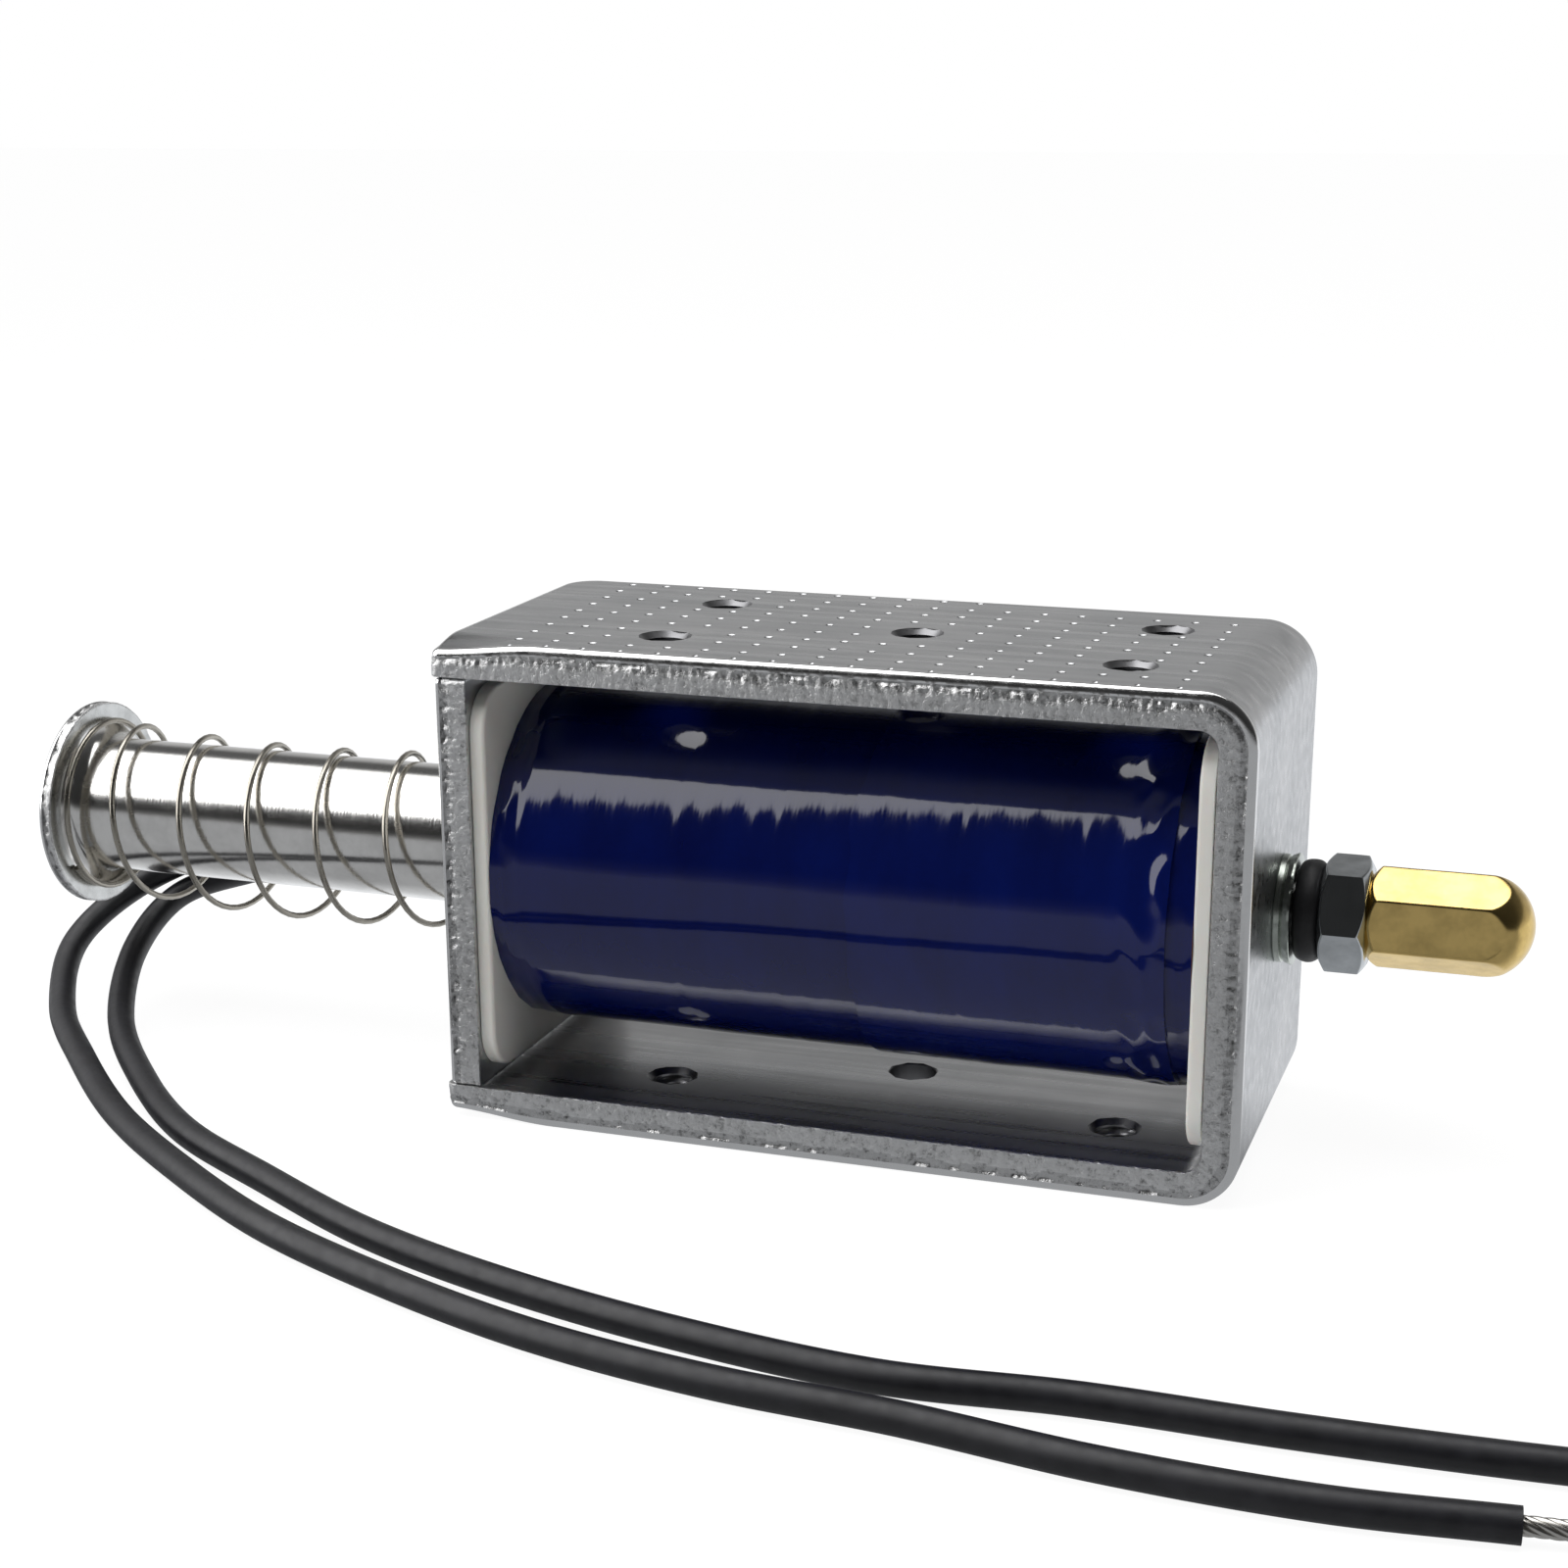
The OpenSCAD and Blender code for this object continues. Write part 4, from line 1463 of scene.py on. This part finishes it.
class NodeTree:
    """Builds one geometry node tree."""

    def __init__(self, name: str, sizes: dict[str, float | tuple[float, float, float]]
                 ) -> None:
        """Starts a tree.

        Args:
            name: Name of the tree.
            sizes: Name and default of each input.
        """
        self.tree = bpy.data.node_groups.new(name, "GeometryNodeTree")
        face = self.tree.interface
        face.new_socket(name="Geometry", in_out="OUTPUT", socket_type="NodeSocketGeometry")
        self.keys: dict[str, str] = {}
        for label, value in sizes.items():
            kind = "NodeSocketVector" if isinstance(value, tuple) else "NodeSocketFloat"
            socket = face.new_socket(name=label, in_out="INPUT", socket_type=kind)
            socket.default_value = value
            self.keys[label] = socket.identifier
        self.values = dict(sizes)
        self.source = self.tree.nodes.new("NodeGroupInput")
        self.sink = self.tree.nodes.new("NodeGroupOutput")

    def size(self, label: str) -> bpy.types.NodeSocket:
        """The socket of a named input."""
        return self.source.outputs[label]

    def add(self, kind: str, inputs: dict[str | int, object] | None = None,
            **settings: object) -> bpy.types.Node:
        """Adds a node.

        Args:
            kind: Type of the node.
            inputs: Socket name or number with a value or a socket to link.
            settings: Attributes of the node.

        Returns:
            The node.
        """
        node = self.tree.nodes.new(kind)
        for key, value in settings.items():
            setattr(node, key, value)
        for key, value in (inputs or {}).items():
            socket = node.inputs[key]
            if isinstance(value, bpy.types.NodeSocket):
                self.tree.links.new(value, socket)
            else:
                socket.default_value = value
        return node

    def maths(self, operation: str, *values: object) -> bpy.types.NodeSocket:
        """Combines values and sockets."""
        node = self.add("ShaderNodeMath", dict(enumerate(values)), operation=operation)
        return node.outputs[0]

    def stretch(self, value: bpy.types.NodeSocket, low: object, high: object,
                out: object) -> bpy.types.NodeSocket:
        """Maps low to high onto 0 to out, held at both ends."""
        node = self.add("ShaderNodeMapRange", {1: low, 2: high, 3: 0.0, 4: out, 0: value},
                        clamp=True)
        return node.outputs[0]

    def end(self, geometry: bpy.types.NodeSocket, material: bpy.types.Material) -> None:
        """Finishes the tree with smooth shading, real geometry and a material."""
        smooth = self.add("GeometryNodeSetShadeSmooth", {"Geometry": geometry})
        real = self.add("GeometryNodeRealizeInstances", {0: smooth.outputs[0]})
        dress = self.add("GeometryNodeSetMaterial",
                         {"Geometry": real.outputs[0], "Material": material})
        self.tree.links.new(dress.outputs[0], self.sink.inputs[0])

    def bake(self, name: str) -> bpy.types.Object:
        """Runs the tree and keeps its result as a plain mesh.

        Args:
            name: Name of the object.

        Returns:
            An object with the mesh and no modifier.
        """
        mesh = bpy.data.meshes.new(name)
        obj = bpy.data.objects.new(name, mesh)
        bpy.context.scene.collection.objects.link(obj)
        modifier = obj.modifiers.new("shape", "NODES")
        modifier.node_group = self.tree
        for label, key in self.keys.items():
            modifier[key] = self.values[label]
        graph = bpy.context.evaluated_depsgraph_get()
        result = bpy.data.meshes.new_from_object(obj.evaluated_get(graph))
        obj.modifiers.remove(modifier)
        obj.data = result
        result.name = name
        return obj


@dataclass
class ReturnSpring:
    """The return spring, with closed turns at both ends."""

    finishes: Finishes
    wire_r: float = 0.25
    coil_r: float = 7.25
    closed_a: float = 1.2
    open_turns: float = 5.85
    closed_b: float = 1.5
    turn_step: float = 0.52
    sag: float = 1.1
    phase_deg: float = 160.0

    def tree(self, x0: float, x1: float) -> NodeTree:
        """Builds the helix tree, in metres.

        Args:
            x0: Centre of the wire at the flange.
            x1: Centre of the wire at the end plate.

        Returns:
            The tree.
        """
        turns = self.closed_a + self.open_turns + self.closed_b
        run = x1 - x0 - (self.closed_a + self.closed_b) * self.turn_step
        t = NodeTree("return spring", {
            "Turns": turns, "Closed start": self.closed_a,
            "Open end": self.closed_a + self.open_turns, "Open run": run * MM,
            "Start": x0 * MM, "Length": (x1 - x0) * MM, "Axis height": AXIS_Z * MM,
            "Coil radius": self.coil_r * MM, "Wire radius": self.wire_r * MM,
            "Step": self.turn_step * MM, "Sag": self.sag * MM,
            "Phase": math.radians(self.phase_deg)})
        line = t.add("GeometryNodeCurvePrimitiveLine")
        fine = t.add("GeometryNodeResampleCurve", {"Curve": line.outputs[0],
                                                   "Count": round(turns * 44) + 1})
        factor = t.add("GeometryNodeSplineParameter").outputs["Factor"]
        turn = t.maths("MULTIPLY", factor, t.size("Turns"))
        tight = t.maths("MULTIPLY", t.size("Closed start"), t.size("Step"))
        first = t.stretch(turn, 0.0, t.size("Closed start"), tight)
        middle = t.stretch(turn, t.size("Closed start"), t.size("Open end"),
                           t.size("Open run"))
        rest = t.maths("MULTIPLY", t.maths("SUBTRACT", t.size("Turns"), t.size("Open end")),
                       t.size("Step"))
        last = t.stretch(turn, t.size("Open end"), t.size("Turns"), rest)
        along = t.maths("ADD", t.maths("ADD", first, middle), last)
        x = t.maths("ADD", along, t.size("Start"))
        wound = t.maths("MULTIPLY", t.maths("SUBTRACT", turn, t.size("Closed start")),
                        math.tau)
        angle = t.maths("SUBTRACT", wound, t.size("Phase"))
        half = t.maths("MULTIPLY", t.size("Length"), 0.5)
        q = t.maths("DIVIDE", t.maths("SUBTRACT", along, half), half)
        hang = t.maths("MULTIPLY", t.maths("SUBTRACT", 1.0, t.maths("MULTIPLY", q, q)),
                       t.size("Sag"))
        y = t.maths("MULTIPLY", t.maths("SINE", angle),
                    t.maths("MULTIPLY", t.size("Coil radius"), -1.0))
        up = t.maths("MULTIPLY", t.maths("COSINE", angle), t.size("Coil radius"))
        z = t.maths("ADD", t.maths("SUBTRACT", t.size("Axis height"), hang), up)
        point = t.add("ShaderNodeCombineXYZ", {0: x, 1: y, 2: z})
        helix = t.add("GeometryNodeSetPosition", {"Geometry": fine.outputs[0],
                                                  "Position": point.outputs[0]})
        ring = t.add("GeometryNodeCurvePrimitiveCircle",
                     {"Resolution": 14, "Radius": t.size("Wire radius")})
        wire = t.add("GeometryNodeCurveToMesh",
                     {"Curve": helix.outputs[0], "Profile Curve": ring.outputs[0],
                      "Fill Caps": True})
        t.end(wire.outputs[0], self.finishes.spring)
        return t

    def make(self) -> bpy.types.Object:
        """Makes the spring on the frame body."""
        low, high = span("return_spring")
        spring = self.tree(low.x + self.wire_r, high.x - self.wire_r).bake("closed_end_spring")
        put(spring, Body.FRAME, "spring_steel", "return_spring")
        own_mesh(spring)
        return spring


@dataclass
class Lead:
    """One insulated lead with its bare, twisted end.

    Attributes:
        tag: Letter of the lead.
        route: Points of the route, in metres, from inside the pad to the end.
        exit_x: Where the lead leaves the pad, in metres.
    """

    finishes: Finishes
    tag: str
    route: list[tuple[float, float, float]]
    exit_x: float = -0.026
    radius: float = 0.00115
    bare: float = 0.005
    fineness: int = 12

    def point(self, u: float) -> Vector:
        """Point at parameter u on the smooth curve through the route."""
        pts = [Vector(p) for p in self.route]
        i = min(int(u), len(pts) - 2)
        t = u - i
        b, c = pts[i], pts[i + 1]
        a = pts[i - 1] if i else 2 * b - c
        d = pts[i + 2] if i + 2 < len(pts) else 2 * c - b
        return 0.5 * (2 * b + (c - a) * t + (2 * a - 5 * b + 4 * c - d) * t * t
                      + (3 * b - a - 3 * c + d) * t ** 3)

    def centreline(self) -> list[Vector]:
        """Points of the centreline from the exit to the end of the insulation."""
        count = (len(self.route) - 1) * self.fineness
        line = [self.point(k / self.fineness) for k in range(count + 1)]
        first = next(i for i, p in enumerate(line) if p.x < self.exit_x)
        start = Vector((self.exit_x, line[first].y, line[first].z))
        return [start, *line[first:]]

    def make_tip(self, start: Vector, along: Vector) -> bpy.types.Object:
        """Makes the twisted strands of the bare end.

        Args:
            start: Where the insulation ends, in metres.
            along: Unit direction of the end.

        Returns:
            The finished strands.
        """
        turn = along.to_track_quat("Z", "Y").to_euler()
        t = NodeTree(f"bare_end_{self.tag}", {
            "Length": self.bare, "Twist": 5.2, "Ring radius": 0.00042,
            "Strand radius": 0.00021, "Place": tuple(start - along * 0.0003),
            "Turn": tuple(turn)})
        line = t.add("GeometryNodeCurvePrimitiveLine")
        fine = t.add("GeometryNodeResampleCurve", {"Curve": line.outputs[0], "Count": 32})
        factor = t.add("GeometryNodeSplineParameter").outputs["Factor"]
        angle = t.maths("MULTIPLY", factor, t.size("Twist"))
        point = t.add("ShaderNodeCombineXYZ", {
            0: t.maths("MULTIPLY", t.maths("COSINE", angle), t.size("Ring radius")),
            1: t.maths("MULTIPLY", t.maths("SINE", angle), t.size("Ring radius")),
            2: t.maths("MULTIPLY", factor, t.size("Length"))})
        strand = t.add("GeometryNodeSetPosition", {"Geometry": fine.outputs[0],
                                                   "Position": point.outputs[0]})
        ring = t.add("GeometryNodeCurvePrimitiveCircle",
                     {"Resolution": 8, "Radius": t.size("Strand radius")})
        wire = t.add("GeometryNodeCurveToMesh",
                     {"Curve": strand.outputs[0], "Profile Curve": ring.outputs[0],
                      "Fill Caps": True})
        spots = t.add("GeometryNodePoints", {"Count": 7})
        index = t.add("GeometryNodeInputIndex").outputs[0]
        about = t.maths("MULTIPLY", index, math.tau / 7)
        spin = t.add("ShaderNodeCombineXYZ", {2: about})
        ring_set = t.add("GeometryNodeInstanceOnPoints",
                         {"Points": spots.outputs[0], "Instance": wire.outputs[0],
                          "Rotation": spin.outputs[0]})
        placed = t.add("GeometryNodeTransform",
                       {"Geometry": ring_set.outputs[0], "Translation": t.size("Place"),
                        "Rotation": t.size("Turn")})
        t.end(placed.outputs[0], self.finishes.tinned)
        tip = t.bake(f"bare_end_{self.tag}")
        return put(tip, Body.FRAME, "tinned_copper", f"lead_tip_{self.tag}")

    def make(self) -> bpy.types.Object:
        line = self.centreline()
        data = bpy.data.curves.new(f"lead_{self.tag}", "CURVE")
        data.dimensions = "3D"
        spline = data.splines.new("POLY")
        spline.points.add(len(line) - 1)
        for target, p in zip(spline.points, line):
            target.co = (*p, 1)
        data.bevel_depth = self.radius
        data.bevel_resolution = 6
        data.use_fill_caps = True
        data.materials.append(self.finishes.vinyl)
        lead = bpy.data.objects.new(f"lead_{self.tag}", data)
        bpy.context.scene.collection.objects.link(lead)
        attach(lead, Body.FRAME.value)
        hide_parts(f"lead_wire_{self.tag}")
        tip = self.make_tip(line[-1], (line[-1] - line[-2]).normalized())
        return lead


ROUTE_A = [
    (-0.016, 0.0155, 0.021), (-0.028, 0.0155, 0.021), (-0.038, 0.0155, 0.021),
    (-0.048, 0.015, 0.0185), (-0.058, 0.014, 0.0155), (-0.068, 0.012, 0.0132),
    (-0.076, 0.008, 0.0098), (-0.079, 0.001, 0.006), (-0.075, -0.008, 0.003),
    (-0.068, -0.016, 0.0018), (-0.059, -0.025, 0.0012), (-0.049, -0.033, 0.0012),
    (-0.037, -0.041, 0.0012), (-0.024, -0.047, 0.0012), (-0.011, -0.0515, 0.0012),
    (0.002, -0.054, 0.0012), (0.015, -0.055, 0.0012), (0.028, -0.0568, 0.0012),
    (0.041, -0.0573, 0.0012), (0.0525, -0.0562, 0.0012)]
ROUTE_B = [
    (-0.016, 0.0155, 0.0184), (-0.028, 0.0155, 0.0184), (-0.038, 0.0155, 0.0184),
    (-0.048, 0.0146, 0.0156), (-0.058, 0.0136, 0.0128), (-0.067, 0.0122, 0.0105),
    (-0.073, 0.009, 0.0085), (-0.073, 0.001, 0.0057), (-0.0685, -0.009, 0.0029),
    (-0.061, -0.018, 0.0016), (-0.052, -0.0265, 0.0012), (-0.041, -0.0333, 0.0012),
    (-0.029, -0.04, 0.0012), (-0.016, -0.0448, 0.0012), (-0.002, -0.0482, 0.0012),
    (0.012, -0.05, 0.0012), (0.025, -0.049, 0.0012), (0.038, -0.049, 0.0012),
    (0.051, -0.0485, 0.0012), (0.063, -0.0475, 0.0012)]


# ---------------------------------------------------------------- studio


@dataclass
class Studio:
    """Camera, floor, lamps and world. Lengths here are in metres.

    Attributes:
        sky: Brightness of the room at each angle, from the front horizon over the top to
            the back one, in degrees.
        box_level: Brightness of the softbox overhead.
        box: Its share at each of these angles.
        box_edge: Its front edge, where the skew is nought.
        skew_deg: How much the front edge climbs for each unit to the right.
        diffuse_share: How much of the room's light reaches dull surfaces.
        floor_grey: Grey of the floor.
        floor_glow: Brightness that the camera sees on it.
        floor_glow_share: Share of that brightness; the rest is lit and shadowed.
        floor_mirror_reach: Where its brightness in reflections starts and stops to rise.
        floor_mirror_level: That brightness at the front and at the back.
    """

    turn_deg: float = 18.942
    tilt_deg: float = 17.222
    roll_deg: float = -0.25
    distance: float = 0.22078
    target: tuple[float, float, float] = (-0.011048, 0.0, 0.014541)
    lens_mm: float = 62.22
    shift: float = 0.0875
    sky: tuple[tuple[float, float], ...] = (
        (0, 0.3), (4, 0.1), (10, 0.03), (100, 0.05), (128, 0.1), (146, 0.12), (158, 0.5),
        (180, 0.75))
    box_level: float = 3.6
    box: tuple[tuple[float, float], ...] = ((0, 1), (112, 1), (125, 0))
    box_edge: tuple[tuple[float, float], ...] = ((51, 0), (54, 1))
    skew_deg: float = 100.0
    diffuse_share: float = 0.4
    floor_grey: float = 0.9
    floor_glow: float = 1.1
    floor_glow_share: float = 0.85
    floor_mirror_reach: tuple[float, float] = (-0.004, 0.012)
    floor_mirror_level: tuple[float, float] = (0.36, 0.9)

    def make_camera(self) -> None:
        """Makes the camera and sets it."""
        a, e, r = (math.radians(v) for v in (self.turn_deg, self.tilt_deg, self.roll_deg))
        back = Vector((math.sin(a) * math.cos(e), -math.cos(a) * math.cos(e), math.sin(e)))
        right = Vector((math.cos(a), math.sin(a), 0.0))
        up = back.cross(right)
        right, up = (math.cos(r) * right + math.sin(r) * up,
                     math.cos(r) * up - math.sin(r) * right)
        data = bpy.data.cameras.new("camera")
        data.lens = self.lens_mm
        data.sensor_width = 36.0
        data.shift_y = self.shift
        data.clip_start = 0.01
        data.clip_end = 20.0
        camera = bpy.data.objects.new("camera", data)
        bpy.context.scene.collection.objects.link(camera)
        place = Vector(self.target) + back * self.distance
        turn = Matrix((right, up, back)).transposed().to_4x4()
        camera.matrix_world = Matrix.Translation(place) @ turn
        bpy.context.scene.camera = camera

    def make_floor(self) -> None:
        """Makes the pale floor, which shows white to the camera and keeps soft shadows."""
        bm = bmesh.new()
        bmesh.ops.create_grid(bm, x_segments=1, y_segments=1, size=3.0)
        mesh = bpy.data.meshes.new("floor")
        bm.to_mesh(mesh)
        bm.free()
        floor = bpy.data.objects.new("floor", mesh)
        floor.location.z = -0.00002
        bpy.context.scene.collection.objects.link(floor)
        material = bpy.data.materials.new("pale floor")
        material.use_nodes = True
        tree = material.node_tree
        tree.nodes.clear()
        output = tree.nodes.new("ShaderNodeOutputMaterial")
        diffuse = tree.nodes.new("ShaderNodeBsdfDiffuse")
        diffuse.inputs[0].default_value = (self.floor_grey,) * 3 + (1,)
        shown = tree.nodes.new("ShaderNodeEmission")
        shown.inputs[1].default_value = self.floor_glow
        path = tree.nodes.new("ShaderNodeLightPath")
        seen = tree.nodes.new("ShaderNodeMath")
        seen.operation = "MULTIPLY"
        seen.inputs[1].default_value = self.floor_glow_share
        tree.links.new(path.outputs["Is Camera Ray"], seen.inputs[0])
        place = tree.nodes.new("ShaderNodeTexCoord")
        split = tree.nodes.new("ShaderNodeSeparateXYZ")
        tree.links.new(place.outputs["Object"], split.inputs[0])
        reach = tree.nodes.new("ShaderNodeMapRange")
        keys = ("From Min", "From Max", "To Min", "To Max")
        for key, value in zip(keys, self.floor_mirror_reach + self.floor_mirror_level):
            reach.inputs[key].default_value = value
        tree.links.new(split.outputs["Y"], reach.inputs["Value"])
        mirrored = tree.nodes.new("ShaderNodeEmission")
        mirrored.inputs[0].default_value = (0.95, 0.97, 1, 1)
        tree.links.new(reach.outputs[0], mirrored.inputs[1])
        base = tree.nodes.new("ShaderNodeMixShader")
        tree.links.new(path.outputs["Is Glossy Ray"], base.inputs[0])
        tree.links.new(diffuse.outputs[0], base.inputs[1])
        tree.links.new(mirrored.outputs[0], base.inputs[2])
        mix = tree.nodes.new("ShaderNodeMixShader")
        tree.links.new(seen.outputs[0], mix.inputs[0])
        tree.links.new(base.outputs[0], mix.inputs[1])
        tree.links.new(shown.outputs[0], mix.inputs[2])
        tree.links.new(mix.outputs[0], output.inputs[0])
        mesh.materials.append(material)

    def make_lamp(self, name: str, place: tuple[float, float, float],
                  aim: tuple[float, float, float], size: tuple[float, float],
                  watts: float) -> None:
        """Adds a rectangular soft lamp.

        Args:
            name: Name of the lamp.
            place: Where it stands.
            aim: What it points at.
            size: Width and height.
            watts: Power.
        """
        data = bpy.data.lights.new(name, "AREA")
        data.shape = "RECTANGLE"
        data.size, data.size_y = size
        data.energy = watts
        lamp = bpy.data.objects.new(name, data)
        lamp.location = place
        way = Vector(place) - Vector(aim)
        lamp.rotation_euler = way.to_track_quat("Z", "Y").to_euler()
        lamp.visible_glossy = False
        bpy.context.scene.collection.objects.link(lamp)

    def make_world(self) -> None:
        """Makes the room: a softbox overhead, a dark front and a grey back."""
        world = bpy.data.worlds.new("room")
        bpy.context.scene.world = world
        world.use_nodes = True
        tree = world.node_tree
        tree.nodes.clear()

        def add(kind: str, **settings: object) -> bpy.types.Node:
            """Adds a world node.

            Args:
                kind: Type of the node.
                **settings: Its properties.

            Returns:
                The node.
            """
            node = tree.nodes.new(kind)
            for key, value in settings.items():
                setattr(node, key, value)
            return node

        output = add("ShaderNodeOutputWorld")
        room = add("ShaderNodeBackground")
        white = add("ShaderNodeBackground")
        white.inputs[0].default_value = (1, 1, 1, 1)
        white.inputs["Strength"].default_value = 1.0
        coords = add("ShaderNodeTexCoord")
        split = add("ShaderNodeSeparateXYZ")
        tree.links.new(coords.outputs["Generated"], split.inputs[0])
        front = add("ShaderNodeMath", operation="MULTIPLY")
        front.inputs[1].default_value = -1.0
        tree.links.new(split.outputs["Y"], front.inputs[0])
        climb = add("ShaderNodeMath", operation="ARCTAN2")
        tree.links.new(split.outputs["Z"], climb.inputs[0])
        tree.links.new(front.outputs[0], climb.inputs[1])
        share = add("ShaderNodeMath", operation="DIVIDE")
        share.inputs[1].default_value = math.pi
        tree.links.new(climb.outputs[0], share.inputs[0])

        def levels(source: bpy.types.NodeSocket,
                   stops: Sequence[tuple[float, float]]) -> bpy.types.NodeSocket:
            """Maps an angle to a brightness.

            Args:
                source: The angle, as a share of half a turn.
                stops: Angle in degrees and brightness of each stop.

            Returns:
                The brightness.
            """
            node = add("ShaderNodeValToRGB")
            elements = node.color_ramp.elements
            while len(elements) < len(stops):
                elements.new(0.5)
            for element, (degrees, level) in zip(elements, stops):
                element.position = degrees / 180
                element.color = (level,) * 3 + (1,)
            tree.links.new(source, node.inputs[0])
            return node.outputs[0]

        def maths(operation: str, first: bpy.types.NodeSocket,
                  second: bpy.types.NodeSocket | float) -> bpy.types.NodeSocket:
            """Adds a calculation.

            Args:
                operation: What it does.
                first: Its first value.
                second: Its second value.

            Returns:
                The result.
            """
            node = add("ShaderNodeMath", operation=operation)
            tree.links.new(first, node.inputs[0])
            if isinstance(second, float):
                node.inputs[1].default_value = second
            else:
                tree.links.new(second, node.inputs[1])
            return node.outputs[0]

        lean = maths("MULTIPLY", maths("ADD", split.outputs["X"], 0.3), -self.skew_deg / 180)
        edge = levels(maths("ADD", share.outputs[0], lean), self.box_edge)
        box = maths("MULTIPLY", edge, levels(share.outputs[0], self.box))
        path = add("ShaderNodeLightPath")
        soft = maths("MAXIMUM", path.outputs["Is Glossy Ray"], self.diffuse_share)
        light = maths("ADD", maths("MULTIPLY", box, self.box_level),
                      levels(share.outputs[0], self.sky))
        tree.links.new(maths("MULTIPLY", light, soft), room.inputs["Strength"])
        mix = add("ShaderNodeMixShader")
        tree.links.new(path.outputs["Is Camera Ray"], mix.inputs[0])
        tree.links.new(room.outputs[0], mix.inputs[1])
        tree.links.new(white.outputs[0], mix.inputs[2])
        tree.links.new(mix.outputs[0], output.inputs[0])

    def make_lights(self) -> None:
        """Makes the lamps and the world."""
        self.make_lamp("overhead key", (-0.02, -0.12, 0.5), (-0.01, 0.0, 0.02),
                       (0.5, 0.3), 1.6)
        self.make_lamp("left fill", (-0.45, -0.2, 0.25), (-0.02, 0.0, 0.02),
                       (0.3, 0.3), 0.5)
        self.make_world()


def dress_nodes(finishes: Finishes) -> None:
    """Gives the CAD nodes that stay in view their own materials."""
    for node, material in (("coil_winding", finishes.copper), ("guide_tube", finishes.tube),
                           ("anti_stick_washer", finishes.film)):
        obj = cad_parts[node]
        if not obj.material_slots:
            obj.data.materials.append(material)
        for slot in obj.material_slots:
            slot.material = material


def main() -> None:
    """Builds the studio, then the part, in the order of its assembly."""
    logging.basicConfig(level=logging.INFO, format="%(name)s: %(message)s")
    bpy.context.scene.view_settings.view_transform = "Standard"
    studio = Studio()
    studio.make_camera()
    finishes = Finishes()
    Lead(finishes, "a", ROUTE_A).make()
    Lead(finishes, "b", ROUTE_B).make()
    dress_nodes(finishes)
    Bracket(finishes).make()
    Coil(finishes).make()
    Plunger(finishes).make()
    PushEnd(finishes).make()
    ReturnSpring(finishes).make()
    studio.make_floor()
    studio.make_lights()


if __name__ == "__main__":
    main()
